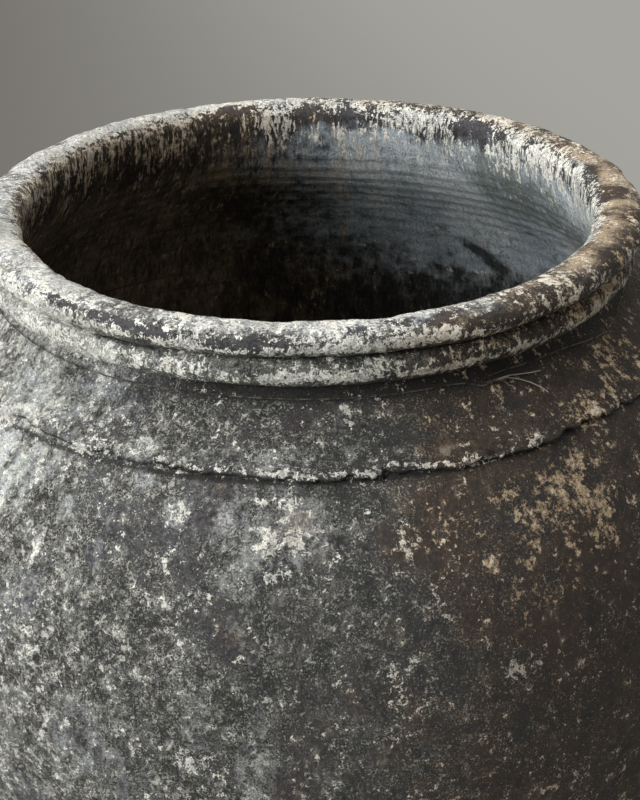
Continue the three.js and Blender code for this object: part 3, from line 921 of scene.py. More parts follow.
@dataclass(frozen=True)
class Weather:
    """What use and years left on the clay: relief in millimetres and fields for the finishes.

    Attributes:
        bare, bare_grit, bare_haze: where the rim is worn bare, and what grit and film lose.
        outer, inner, brink: the marks on either side, and where the outer ones take over.
        far_stray, near_stray, steady_radius: how far the hand let the wall stray, and where the
            floor starts to lie still.
        under_wire, wire_room: where the wall stays inside the drawn section, and how far.
        smooth_under_wire: where no grit stands out.
        filled, filling, filling_lumps: the groove's crust: its thickness, place and lumps.
        grit, specks: the grit in the clay, and the smaller grit that only stands out.
        nub_lift: how strongly the nubs are raised.
        rim, rim_waves, rim_knobs: the rim, with its soft lumps and small knobs.
        ridge, ridge_crumbs, ridge_grit: the torn ridge, with its lumps and grit.
        turned_from, turned_heights: how deep the turning lines start, and how high both stand.
    """

    bare: Patches = patches(
        (-41, 9, 11, 2.4, -0.45, 1.2), (-30, 10, 12, 2.4, -0.5, 1), (-22, 12, 8, 2.6, -0.55),
        (-13, 14, 8, 2.4, -0.5), (-8.5, 13, 8, 3, -0.7), (-3.5, 13, 5, 2.2, -0.45), (7, 4, 6, 3, -0.3),
        (14, 1, 8, 3.6, -0.4), (20, 5, 8, 4, -0.42), (27, 11, 9, 2.6, -0.35), (24, 0, 12, 4, -0.22),
        (34, 13, 11, 2.6, -0.4), (58, 8, 9, 6, -0.3), (66, 4, 10, 6, -0.35), (76, 1, 12, 6, -0.5),
        (86, -3, 11, 6, -0.65), (98, -6, 11, 5, -0.45), (139, -14, 14, 8, -0.8), (170, -16, 10, 6, -0.7),
        (179, -15, 10, 7, -0.6), (-164, -6, 12, 4, -0.4), (-146, 10, 16, 3.6, -0.6),
        (-118, 12, 20, 3.2, -0.55), (-92, 10, 14, 3.4, -0.55), (-66, 11, 12, 2.6, -0.5),
        (128, 10, 18, 3.4, -0.4), (160, 12, 18, 3.6, -0.6), (178, 8, 12, 3, -0.55),
        (-170, 33, 22, 3, -0.5), (-138, 35, 24, 3.2, -0.5), (-104, 32, 22, 3, -0.45),
        (-74, 34, 14, 2.6, -0.4), (150, 34, 20, 3.2, -0.45),
    )
    bare_grit: float = 1.5
    bare_haze: float = 1.8
    outer: OuterMarks = OuterMarks()
    inner: InnerMarks = InnerMarks()
    brink: Ramp = Ramp(-12, 10)
    far_stray: Lumps = Lumps(150, 3, 2, height=1.1)
    near_stray: Lumps = Lumps(42, 8, 2, height=0.45)
    steady_radius: float = 80.0
    under_wire: Band = Band(38, 10, 88, 14)
    wire_room: float = 0.5
    smooth_under_wire: Band = Band(44, 6, 80, 8)
    filled: Course = Course((-180, -110, -60, -34, -18, -4, 60, 180), (1, 2, 3.4, 3, 1.6, 0.4, 0.2, 1))
    filling: Swell = Swell(26, 5)
    filling_lumps: Lumps = Lumps(12, 99, 2, height=0.5)
    grit: Lumps = Lumps(7, 21, height=0.18)
    specks: Lumps = Lumps(3.2, 29, 2, height=0.12)
    nub_lift: float = 1.4
    rim: Band = Band(-34, 8, 44, 6)
    rim_waves: Lumps = Lumps(17, 43, height=0.55)
    rim_knobs: Lumps = Lumps(8, 47, 2, height=0.35)
    ridge: Swell = Swell(86, 7)
    ridge_crumbs: Lumps = Lumps(9, 53, 2, height=1.3)
    ridge_grit: Lumps = Lumps(4, 55, 2, height=0.35)
    turned_from: Ramp = Ramp(26, 22)
    turned_heights: tuple[float, float] = (0.34, 0.16)

    def sway(self, skin: Skin) -> Array:
        """How far the hand let the whole wall stray.

        Args:
            skin: the places.

        Returns:
            Millimetres from the axis.
        """
        places = skin.places()
        stray = self.far_stray.at(places) + self.near_stray.at(places)
        tied = self.under_wire.at(skin.way)
        stray = stray - tied * np.maximum(stray + self.wire_room, 0.0)
        return stray * smooth(skin.ring[..., 0] / self.steady_radius)

    def groove_fill(self, skin: Skin) -> Array:
        """How far old crust fills the groove under the lip, in millimetres outwards."""
        fill = self.filled.at(np.degrees(skin.turn)) * self.filling.at(skin.way)
        return fill * (1 + self.filling_lumps.at(skin.places()))

    def relief(self, skin: Skin) -> Array:
        """How far the clay stands out of the drawn section at each place.

        Args:
            skin: the places.

        Returns:
            Millimetres along the skin's outward direction.
        """
        places, way = skin.places(), skin.way
        lifted = self.grit.at(places) + np.maximum(self.specks.at(places), 0.0)
        lifted += self.rim.at(way) * (self.rim_waves.at(places) + np.abs(self.rim_knobs.at(places)))
        if skin.side is Side.OUTER:
            lifted += self.nub_lift * total(self.outer.nubs, skin)
            crumbs = np.maximum(self.ridge_crumbs.at(places), 0.0)
            lifted += self.ridge.at(way) * (crumbs + self.ridge_grit.at(places))
        lifted -= self.smooth_under_wire.at(way) * np.maximum(lifted, 0.0)
        if skin.side is Side.INNER:
            coarse, fine = self.inner.turned(skin)
            coarse_height, fine_height = self.turned_heights
            lifted += self.turned_from.at(-way) * (coarse_height * coarse + fine_height * fine)
        return lifted

    def painted(self, skin: Skin) -> dict[str, Array]:
        """The fields that the finishes read, at each place.

        Args:
            skin: the places.

        Returns:
            Named fields; a crust shows where its field is above 0.
        """
        inner = self.inner.painted(skin)
        outer = self.outer.painted(skin)
        share = np.zeros_like(skin.way) if skin.side is Side.INNER else self.brink.at(skin.way)
        mixed = {name: share * outer[name] + (1.0 - share) * inner[name] for name in outer}
        bare = total(self.bare, skin)
        mixed["lime"] += bare
        mixed["bare"] = np.clip(-bare, 0.0, 1.0)
        mixed["grit"] += self.bare_grit * bare
        mixed["moss"] += bare
        mixed["haze"] += self.bare_haze * bare
        return mixed


@dataclass(frozen=True)
class Grain:
    """A noise that a finish is built on.

    Attributes:
        size: its lumps' size in millimetres.
        detail, rough: how many smaller layers it has, and how strong they are.
        warp: how far it swirls.
        run: what the drum's height is multiplied by, so that marks run down; 0 reads the place.
    """

    size: float
    detail: float = 3.0
    rough: float = 0.55
    warp: float = 0.0
    run: float = 0.0


class Bench:
    """Short ways to lay the nodes of one material."""

    def __init__(self, name: str) -> None:
        """Starts a material.

        Args:
            name: the material's name.
        """
        self.material = bpy.data.materials.new(name)
        self.material.use_nodes = True
        self.tree = self.material.node_tree
        self.shader = self.tree.nodes["Principled BSDF"]

    def node(self, kind: str, **settings: object) -> bpy.types.Node:
        """A new node.

        Args:
            kind: Blender's name of the node type.
            settings: its properties.

        Returns:
            The node.
        """
        made = self.tree.nodes.new(kind)
        for name, value in settings.items():
            setattr(made, name, value)
        return made

    def put(self, socket: Socket, value: object) -> None:
        """Links a socket to another, or sets it.

        Args:
            socket: the input.
            value: an output socket, a number or a colour.
        """
        if isinstance(value, Socket):
            self.tree.links.new(value, socket)
        elif isinstance(value, tuple) and len(value) == 3 and socket.type == "RGBA":
            socket.default_value = (*value, 1.0)
        else:
            socket.default_value = value

    def fed(self, name: str, vector: bool = False) -> Socket:
        """A field that the meshes carry, as a number or as a vector."""
        node = self.node("ShaderNodeAttribute", attribute_name=name)
        return node.outputs["Vector" if vector else "Fac"]

    @cached_property
    def place(self) -> Socket:
        """The place on the object, in metres."""
        return self.node("ShaderNodeTexCoord").outputs["Object"]

    @cached_property
    def drum(self) -> Socket:
        """The place on the drum that the clay is unrolled from, in metres."""
        return self.fed("unrolled", vector=True)

    def noise(self, grain: Grain) -> Socket:
        """Noise of a grain.

        Args:
            grain: its size and kind.

        Returns:
            A number of about 0.3 to 0.7.
        """
        node = self.node("ShaderNodeTexNoise")
        if grain.run:
            squeezed = self.node("ShaderNodeVectorMath", operation="MULTIPLY")
            self.put(squeezed.inputs[0], self.drum)
            self.put(squeezed.inputs[1], (1.0, 1.0, grain.run))
            self.put(node.inputs["Vector"], squeezed.outputs[0])
        else:
            self.put(node.inputs["Vector"], self.place)
        node.inputs["Scale"].default_value = 1.0 / (grain.size * MM)
        node.inputs["Detail"].default_value = grain.detail
        node.inputs["Roughness"].default_value = grain.rough
        node.inputs["Distortion"].default_value = grain.warp
        return node.outputs["Fac"]

    def cells(self, size: float, warp: float) -> Socket:
        """One even number from 0 to 1 for each of many small angular cells.

        Args:
            size: the cells' size in millimetres.
            warp: how far their edges wander, in millimetres.

        Returns:
            The number.
        """
        wander = self.node("ShaderNodeTexNoise")
        self.put(wander.inputs["Vector"], self.place)
        wander.inputs["Scale"].default_value = 1.0 / (size * MM)
        moved = self.node("ShaderNodeVectorMath", operation="MULTIPLY_ADD")
        self.put(moved.inputs[0], wander.outputs["Color"])
        self.put(moved.inputs[1], (warp * MM, warp * MM, warp * MM))
        self.put(moved.inputs[2], self.place)
        node = self.node("ShaderNodeTexVoronoi")
        self.put(node.inputs["Vector"], moved.outputs[0])
        node.inputs["Scale"].default_value = 1.0 / (size * MM)
        apart = self.node("ShaderNodeSeparateColor")
        self.put(apart.inputs[0], node.outputs["Color"])
        return apart.outputs[0]

    def maths(self, operation: str, first: object, second: object = 0.0) -> Socket:
        """An operation on two numbers.

        Args:
            operation: Blender's name of it.
            first: the first number.
            second: the second one.

        Returns:
            The result.
        """
        node = self.node("ShaderNodeMath", operation=operation)
        self.put(node.inputs[0], first)
        self.put(node.inputs[1], second)
        return node.outputs[0]

    def scaled(self, number: object, factor: float, start: object) -> Socket:
        """A number times a factor, added to a start.

        Args:
            number: the number.
            factor: what it is multiplied by.
            start: what the product is added to.

        Returns:
            The sum.
        """
        node = self.node("ShaderNodeMath", operation="MULTIPLY_ADD")
        for socket, value in zip(node.inputs, (number, factor, start)):
            self.put(socket, value)
        return node.outputs[0]

    def product(self, *factors: object) -> Socket:
        """Several numbers multiplied.

        Args:
            factors: the numbers.

        Returns:
            The product.
        """
        result, *others = factors
        for factor in others:
            result = self.maths("MULTIPLY", result, factor)
        return result

    def added(self, start: object, *terms: tuple[object, float]) -> Socket:
        """A number plus noises round their middle.

        Args:
            start: the number.
            terms: pairs of a noise from 0 to 1 and what its half range is worth.

        Returns:
            The sum.
        """
        result = start
        for noise, worth in terms:
            result = self.maths("ADD", result, self.scaled(noise, 2.0 * worth, -worth))
        return result

    def rise(self, value: object, low: float, high: float, top: float = 1.0) -> Socket:
        """An even rise of one number with another.

        Args:
            value: the other number.
            low: where the rise starts from 0.
            high: where it ends; below low it is a fall.
            top: what it ends at.

        Returns:
            The number.
        """
        node = self.node("ShaderNodeMapRange", interpolation_type="SMOOTHSTEP")
        self.put(node.inputs["Value"], value)
        node.inputs["From Min"].default_value = low
        node.inputs["From Max"].default_value = high
        node.inputs["To Max"].default_value = top
        return node.outputs["Result"]

    def mixed(self, share: object, first: object, second: object, numbers: bool = False) -> Socket:
        """Two colours or numbers mixed.

        Args:
            share: how much of the second there is, from 0 to 1.
            first: the first colour or number.
            second: the second one.
            numbers: whether they are numbers.

        Returns:
            The mixed colour or number.
        """
        node = self.node("ShaderNodeMix", data_type="FLOAT" if numbers else "RGBA")
        self.put(node.inputs[0], share)
        self.put(node.inputs[2 if numbers else 6], first)
        self.put(node.inputs[3 if numbers else 7], second)
        return node.outputs[0 if numbers else 2]

    def raised(self, *heights: tuple[object, float]) -> Socket:
        """A surface normal raised by several patterns.

        Args:
            heights: pairs of a pattern from 0 to 1 and its height in millimetres.

        Returns:
            The normal.
        """
        normal = None
        for pattern, height in heights:
            node = self.node("ShaderNodeBump")
            node.inputs["Strength"].default_value = 1.0
            node.inputs["Distance"].default_value = height * MM
            self.put(node.inputs["Height"], pattern)
            if normal is not None:
                self.put(node.inputs["Normal"], normal)
            normal = node.outputs["Normal"]
        return normal


def shade(red: int, green: int, blue: int) -> Colour:
    """A colour as picked from a screen, made linear."""
    picked = (part / 255.0 for part in (red, green, blue))
    return tuple(p / 12.92 if p <= 0.04045 else ((p + 0.055) / 1.055) ** 2.4 for p in picked)


@dataclass(frozen=True)
class Layer:
    """How one layer of the clay's finish shows: by a number that the noises fray.

    Attributes:
        low, high, top: the sums at which it starts and ends to show, and how much it then does.
        patchy, mottle, cloudy, torn, grain, drips, swirl, chips: what each noise adds or takes.
    """

    low: float
    high: float
    top: float = 1.0
    patchy: float = 0.0
    mottle: float = 0.0
    cloudy: float = 0.0
    torn: float = 0.0
    grain: float = 0.0
    drips: float = 0.0
    swirl: float = 0.0
    chips: float = 0.0


@dataclass
class Noises:
    """The noises that all layers of the clay's finish share.

    Attributes:
        bench: the material's.
        patchy, mottle, cloudy: broad patches, those of a centimetre, and the two together.
        torn, grain: ragged edges, and the finest grain.
        drips, swirl, chips: short runs, curls, and one number for each small angular flake.
        calm: 1, and less where marks run down.
    """

    bench: Bench
    patchy: Socket
    mottle: Socket
    cloudy: Socket
    torn: Socket
    grain: Socket
    drips: Socket
    swirl: Socket
    chips: Socket
    calm: Socket

    def frayed(self, layer: Layer, start: object) -> Socket:
        """The number that decides where a layer shows.

        Args:
            layer: the layer.
            start: the number before the noises.

        Returns:
            The sum.
        """
        names = ("patchy", "mottle", "cloudy", "torn", "grain", "drips", "swirl", "chips")
        terms = ((getattr(self, name), getattr(layer, name)) for name in names)
        return self.bench.added(start, *(term for term in terms if term[1]))

    def shown(self, layer: Layer, start: object) -> Socket:
        """How much of a layer shows, from 0 to its top, where start is the number to fray."""
        return self.bench.rise(self.frayed(layer, start), layer.low, layer.high, layer.top)

    def sprinkled(self, grain: Grain, crowd: object, worth: float, low: float, high: float) -> Socket:
        """Where grains stick: a noise's peaks from low to high, more of them in a crowd."""
        return self.bench.rise(self.bench.added(self.bench.noise(grain), (crowd, worth)), low, high)


@dataclass(frozen=True)
class ClayFinish:
    """Fired clay under grit, film, beige crust and lime.

    Attributes:
        name: the material's name.
        lime_grain, lime_relief: how wide the lime's torn edges and how thick it looks, and
        grit_relief: how rough the clay feels, all in millimetres.
        cool, brown, sooty: the clay's dark and light tones where it is grey or brown, the brown
        partly painted shade on the right; and the lighter brown deep inside on the shaded side,
        partly the clay's own and partly painted light.
        slate: its smooth bare patches.
        granule: the dull and the bright grains that stick to it.
        lime, beige: the tones of either crust.
        film, dusted: the thin dried film on grey and on brown clay.
        blue, olive: the pale blue film inside, partly a real film and partly painted light where the
        window's light falls; and the olive growth on it.
        pit, grimy: the near black of small pits and holes, painted shade inside them; and a dark tone
        that is painted shade under the bead, in the groove and under the ridge, and dirt inside.
        roughness: the least and the greatest roughness.
    """

    name: str
    lime_grain: float = 2.6
    lime_relief: float = 0.6
    grit_relief: float = 0.6
    cool: tuple[Colour, Colour] = (shade(38, 37, 36), shade(76, 76, 71))
    slate: Colour = shade(62, 59, 63)
    brown: tuple[Colour, Colour] = (shade(29, 20, 12), shade(70, 51, 34))
    deep_tone_and_light_colours: tuple[Colour, Colour] = (shade(100, 87, 68), shade(172, 151, 120))
    granule: tuple[Colour, Colour] = (shade(112, 110, 101), shade(222, 220, 208))
    lime: tuple[Colour, Colour] = (shade(158, 156, 151), shade(255, 252, 241))
    beige: tuple[Colour, Colour] = (shade(84, 68, 50), shade(214, 188, 152))
    film: Colour = shade(226, 231, 231)
    dusted: Colour = shade(186, 164, 134)
    blue: Colour = shade(197, 208, 214)
    olive: Colour = shade(94, 98, 82)
    pit: Colour = shade(20, 18, 16)
    grime_and_shade_tone: Colour = shade(24, 22, 20)
    roughness: tuple[float, float] = (0.6, 0.95)

    def noises(self, bench: Bench) -> Noises:
        """Lays the shared noises.

        Args:
            bench: the material's.

        Returns:
            The noises.
        """
        streak = bench.fed("streak")
        patchy = bench.noise(Grain(34.0, 4.0, 0.6))
        mottle = bench.noise(Grain(9.0, 5.0, 0.65))
        torn = bench.noise(Grain(self.lime_grain, 5.0, 0.72, 0.25))
        smear = bench.noise(Grain(4.4, 4.0, 0.6, 2.4, 0.45))
        combed = bench.added(bench.noise(Grain(1.7, 3.0, 0.6, 0.3, 0.25)), (smear, 0.35))
        return Noises(
            bench=bench,
            patchy=patchy,
            mottle=bench.mixed(streak, mottle, bench.noise(Grain(7.0, 3.0, 0.6, 0.6, 0.25)), numbers=True),
            cloudy=bench.added(mottle, (patchy, 0.25)),
            torn=bench.mixed(streak, torn, combed, numbers=True),
            grain=bench.noise(Grain(0.8, 3.0, 0.75)),
            drips=bench.noise(Grain(3.0, 4.0, 0.65, 0.4, 0.25)),
            swirl=bench.noise(Grain(7.0, 4.0, 0.6, 1.6, 0.5)),
            chips=bench.cells(2.4, 1.2),
            calm=bench.scaled(streak, -0.75, 1.0),
        )

    def material(self) -> bpy.types.Material:
        """Lays the nodes of the finish.

        Returns:
            The material.
        """
        bench = Bench(self.name)
        noises = self.noises(bench)
        shown = noises.shown
        tone = shown(Layer(0.2, 0.8, torn=0.8, grain=0.4, patchy=0.3), noises.mottle)
        warmth = shown(Layer(0.2, 0.8, patchy=0.8, mottle=0.5), bench.fed("warm"))
        bared = bench.scaled(bench.fed("bare"), 0.5, noises.patchy)
        worn = shown(Layer(0.5, 0.6, mottle=0.3, torn=0.15), bared)
        cool = bench.mixed(bench.product(worn, 0.85), bench.mixed(tone, *self.cool), self.slate)
        colour = bench.mixed(warmth, cool, bench.mixed(tone, *self.brown))
        # Deep inside on the shaded side a lighter brown: partly the clay's own, partly painted light.
        deep_tone_and_light = shown(Layer(0.1, 0.9, drips=0.15, cloudy=0.5), bench.fed("deep_tone_and_light"))
        colour = bench.mixed(deep_tone_and_light, colour, bench.mixed(tone, *self.deep_tone_and_light_colours))
        # The pale blue film inside: partly a real film, partly painted light where the window's light falls.
        cold = shown(Layer(0.24, 1.05, 0.92, drips=0.35, cloudy=0.9), bench.fed("cold"))
        colour = bench.mixed(cold, colour, self.blue)
        veil = Layer(0.1, 1.1, 0.85, drips=0.5, torn=0.7, mottle=0.7, patchy=0.4, grain=0.5)
        haze = shown(veil, bench.fed("haze"))
        colour = bench.mixed(haze, colour, bench.mixed(warmth, self.film, self.dusted))
        moss = shown(Layer(0.2, 1.1, 0.65, mottle=0.9, drips=1.6), bench.fed("moss"))
        colour = bench.mixed(moss, colour, self.olive)

        crowding = Layer(0.0, 1.0, mottle=0.9, patchy=0.6)
        crowd = bench.added(noises.frayed(crowding, bench.fed("grit")), (worn, -0.5))
        sandy = noises.sprinkled(Grain(1.5, 3.0, 0.6, 0.3), crowd, 0.075, 0.58, 0.65)
        dusty = noises.sprinkled(Grain(0.75, 2.0, 0.5), crowd, 0.09, 0.58, 0.67)
        flaky = noises.sprinkled(Grain(3.1, 4.0, 0.75, 0.5, 0.6), crowd, 0.08, 0.66, 0.69)
        speck = bench.maths("MAXIMUM", sandy, dusty)
        # Pits and holes are painted near black: painted shade inside them.
        pits = shown(Layer(0.42, 0.34, mottle=0.2), bench.noise(Grain(1.7, 3.0, 0.65, 0.2)))
        dust = bench.mixed(bench.product(warmth, 0.8), bench.mixed(noises.chips, *self.granule), self.dusted)
        marks = ((speck, 0.58, dust), (pits, 0.5, self.pit), (flaky, 0.85, self.granule[1]))
        for mark, share, tint in marks:
            colour = bench.mixed(bench.product(mark, noises.calm, share), colour, tint)
        # Painted shade under the bead, in the groove and under the ridge; inside, dirt and a dark stain.
        grime_and_shade = shown(Layer(0.05, 0.85, 0.9, torn=0.6, mottle=0.4), bench.fed("grime_and_shade"))
        colour = bench.mixed(grime_and_shade, colour, self.grime_and_shade_tone)

        tanned = Layer(-0.03, 0.16, torn=1.6, mottle=1.3, swirl=1.2, chips=0.18, grain=0.6)
        ochre = shown(tanned, bench.fed("ochre"))
        tan_tone = shown(Layer(0.15, 0.85, grain=0.9, mottle=0.8, chips=0.15), noises.torn)
        colour = bench.mixed(ochre, colour, bench.mixed(tan_tone, *self.beige))
        chalky = Layer(-0.02, 0.08, torn=1.7, mottle=1.1, swirl=0.9, chips=0.26, grain=1.1)
        limed = noises.frayed(chalky, bench.fed("lime"))
        chalk = bench.rise(limed, chalky.low, chalky.high)
        rind = bench.rise(limed, 0.6, 0.1)
        heart = bench.rise(limed, 0.6, 1.5)
        thick = bench.product(bench.maths("ADD", rind, heart), 0.5)
        white = shown(Layer(-0.4, 0.75, grain=1.6, torn=1.1, patchy=0.6, chips=0.25), thick)
        crust = bench.mixed(white, *self.lime)
        crust = bench.mixed(bench.product(warmth, 0.4), crust, bench.mixed(white, *self.beige))
        colour = bench.mixed(chalk, colour, crust)
        # Painted shade inside small holes.
        holes = shown(Layer(0.41, 0.34, 0.7, mottle=0.12), bench.noise(Grain(1.1, 3.0, 0.7)))
        colour = bench.mixed(bench.product(holes, noises.calm), colour, self.pit)

        bench.put(bench.shader.inputs["Base Color"], colour)
        crusted = bench.maths("MAXIMUM", chalk, ochre)
        rough = bench.rise(bench.added(crusted, (noises.mottle, 0.5), (haze, 0.5)), -0.2, 1.0)
        least, greatest = self.roughness
        bench.put(bench.shader.inputs["Roughness"], bench.scaled(rough, greatest - least, least))
        grains = bench.added(noises.grain, (speck, 0.6), (flaky, 0.5), (pits, -0.5), (holes, -0.5))
        normal = bench.raised(
            (noises.mottle, 2.3 * self.grit_relief),
            (noises.torn, 2.4 * self.grit_relief),
            (crusted, self.lime_relief),
            (grains, 1.7 * self.grit_relief),
        )
        bench.put(bench.shader.inputs["Normal"], normal)
        return bench.material


@dataclass(frozen=True)
class WireFinish:
    """Thin steel wire, dulled and rusted."""

    name: str = "rusted wire"
    steel: Colour = shade(118, 110, 102)
    rust: Colour = shade(58, 50, 44)
    # The lighter tone given to the tails and the twist.
    clean: Colour = shade(176, 170, 160)
    metallic: float = 0.4

    def material(self) -> bpy.types.Material:
        """Lays the nodes of the finish.

        Returns:
            The material.
        """
        bench = Bench(self.name)
        rusty = bench.rise(bench.noise(Grain(5.0, 4.0, 0.7)), 0.4, 0.6)
        fine = bench.noise(Grain(0.4, 2.0))
        worn = bench.mixed(rusty, self.steel, self.rust)
        # The tails and the twist take the lighter tone.
        bench.put(bench.shader.inputs["Base Color"], bench.mixed(bench.fed("lighter_ends"), worn, self.clean))
        bench.put(bench.shader.inputs["Roughness"], bench.rise(bench.added(rusty, (fine, 0.4)), -0.9, 1.4))
        bench.shader.inputs["Metallic"].default_value = self.metallic
        bench.put(bench.shader.inputs["Normal"], bench.raised((fine, 0.05)))
        return bench.material


def seen_rays(tree: bpy.types.NodeTree) -> Socket:
    """A number that is 1 for what the camera sees, also in metal or through glass.

    Args:
        tree: the material's or the world's nodes.

    Returns:
        The number.
    """
    rays = tree.nodes.new("ShaderNodeLightPath")
    total = rays.outputs["Is Camera Ray"]
    for name in ("Is Glossy Ray", "Is Transmission Ray"):
        either = tree.nodes.new("ShaderNodeMath")
        either.operation = "MAXIMUM"
        tree.links.new(total, either.inputs[0])
        tree.links.new(rays.outputs[name], either.inputs[1])
        total = either.outputs[0]
    return total


@dataclass(frozen=True)
class StageFinish:
    """Plain matt pale grey that fades, for the camera, into a backdrop of a slow grey, darker on the
    left as painted shade.

    Attributes:
        name: the material's name.
        near: the floor round the pot.
        left, right: the backdrop on either side; the darker left is painted shade.
        sky: what it fades into far away.
        fade, end: where the floor turns into it, and it into the sky, in metres.
        span, depth: how far its slow change reaches, and how much of that goes backwards.
        behind: where it starts behind the pot, in metres.
    """

    name: str = "stage grey"
    near: Colour = shade(158, 157, 151)
    # Painted shade: the backdrop is darker on the left.
    left: Colour = shade(116, 113, 107)
    right: Colour = shade(165, 164, 158)
    sky: Colour = shade(158, 157, 151)
    fade: tuple[float, float] = (0.7, 1.25)
    end: tuple[float, float] = (2.6, 3.3)
    span: tuple[float, float] = (-0.4, 0.95)
    depth: float = 0.2
    behind: tuple[float, float] = (0.3, 0.95)

    def material(self) -> bpy.types.Material:
        """Lays the nodes of the finish.

        Returns:
            The material.
        """
        bench = Bench(self.name)
        apart = bench.node("ShaderNodeSeparateXYZ")
        bench.put(apart.inputs[0], bench.place)
        across = bench.scaled(apart.outputs["Y"], self.depth, apart.outputs["X"])
        away = bench.node("ShaderNodeVectorMath", operation="LENGTH")
        bench.put(away.inputs[0], bench.place)
        # The backdrop runs from the painted shade on the left to the lighter right.
        backdrop = bench.mixed(bench.rise(across, *self.span), self.left, self.right)
        backdrop = bench.mixed(bench.rise(apart.outputs["Y"], *self.behind), self.sky, backdrop)
        backdrop = bench.mixed(bench.rise(away.outputs["Value"], *self.end), backdrop, self.sky)
        glow = bench.node("ShaderNodeEmission")
        bench.put(glow.inputs["Color"], backdrop)
        share = bench.product(bench.rise(away.outputs["Value"], *self.fade), seen_rays(bench.tree))
        both = bench.node("ShaderNodeMixShader")
        bench.put(both.inputs[0], share)
        bench.put(both.inputs[1], bench.shader.outputs[0])
        bench.put(both.inputs[2], glow.outputs[0])
        bench.put(bench.tree.nodes["Material Output"].inputs["Surface"], both.outputs[0])
        bench.put(bench.shader.inputs["Base Color"], self.near)
        bench.shader.inputs["Roughness"].default_value = 1.0
        bench.shader.inputs["Specular IOR Level"].default_value = 0.1
        return bench.material


def placed(name: str, mesh: bpy.types.Mesh) -> bpy.types.Object:
    """Puts a mesh into the scene.

    Args:
        name: the object's name.
        mesh: the mesh.

    Returns:
        The object.
    """
    made = bpy.data.objects.new(name, mesh)
    bpy.context.scene.collection.objects.link(made)
    return made


def stand_in(piece: bpy.types.Object, body: Body, node: str) -> None:
    """Lets a piece ride its body and stand for a solid.

    Args:
        piece: the piece.
        body: the body.
        node: the solid's name.
    """
    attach(piece, body.value)
    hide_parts(node)


@dataclass
class Stretch:
    """One stretch of a ring's section.

    Attributes:
        side: which face it is.
        points: its points from end to end, out of the clay on their left when they fall.
        pitch: how far apart the mesh's rows lie, in millimetres.
        way: the way from the crown at its first point; the way falls along an inner face.
    """

    side: Side
    points: Array
    pitch: float = 1.2
    way: float = 0.0

    def skin(self, turns: Array) -> Skin:
        """Lays the stretch's grid of places.

        Args:
            turns: the turn of each column.

        Returns:
            The grid.
        """
        along = length_along(self.points)
        rows = max(2, round(along[-1] / self.pitch) + 1)
        stops = np.linspace(0.0, along[-1], rows)
        ring = np.stack([np.interp(stops, along, self.points[:, k]) for k in (0, 1)], axis=-1)
        shape = (rows, len(turns))
        wide = (*shape, 2)
        return Skin(
            self.side,
            np.broadcast_to(turns, shape).copy(),
            np.broadcast_to((self.way + stops)[:, None], shape).copy(),
            np.broadcast_to(ring[:, None], wide).copy(),
            np.broadcast_to(square_to(ahead_along(ring))[:, None], wide).copy(),
        )


@dataclass(frozen=True)
class Columns:
    """The turns at which every ring has its columns, close together where the front shows.

    Attributes:
        front_pitch, back_pitch: degrees between columns in front and behind.
        front_half: how far round the front reaches to either side, in degrees.
        blend: over how many degrees the one gives way to the other.
        samples: how finely that is worked out.
    """

    front_pitch: float = 0.3
    back_pitch: float = 0.9
    front_half: float = 56.0
    blend: float = 14.0
    samples: int = 7201

    def turns(self) -> Array:
        """Works out the columns.

        Returns:
            Their turns in radians, from -180 degrees up.
        """
        fine = np.linspace(-180.0, 180.0, self.samples)
        away = smooth((np.abs(fine) - self.front_half) / self.blend)
        density = 1.0 / (self.front_pitch + (self.back_pitch - self.front_pitch) * away)
        gone = np.concatenate([[0.0], np.cumsum((density[1:] + density[:-1]) / 2 * np.diff(fine))])
        count = round(gone[-1])
        return np.radians(np.interp(np.arange(count) * gone[-1] / count, gone, fine))


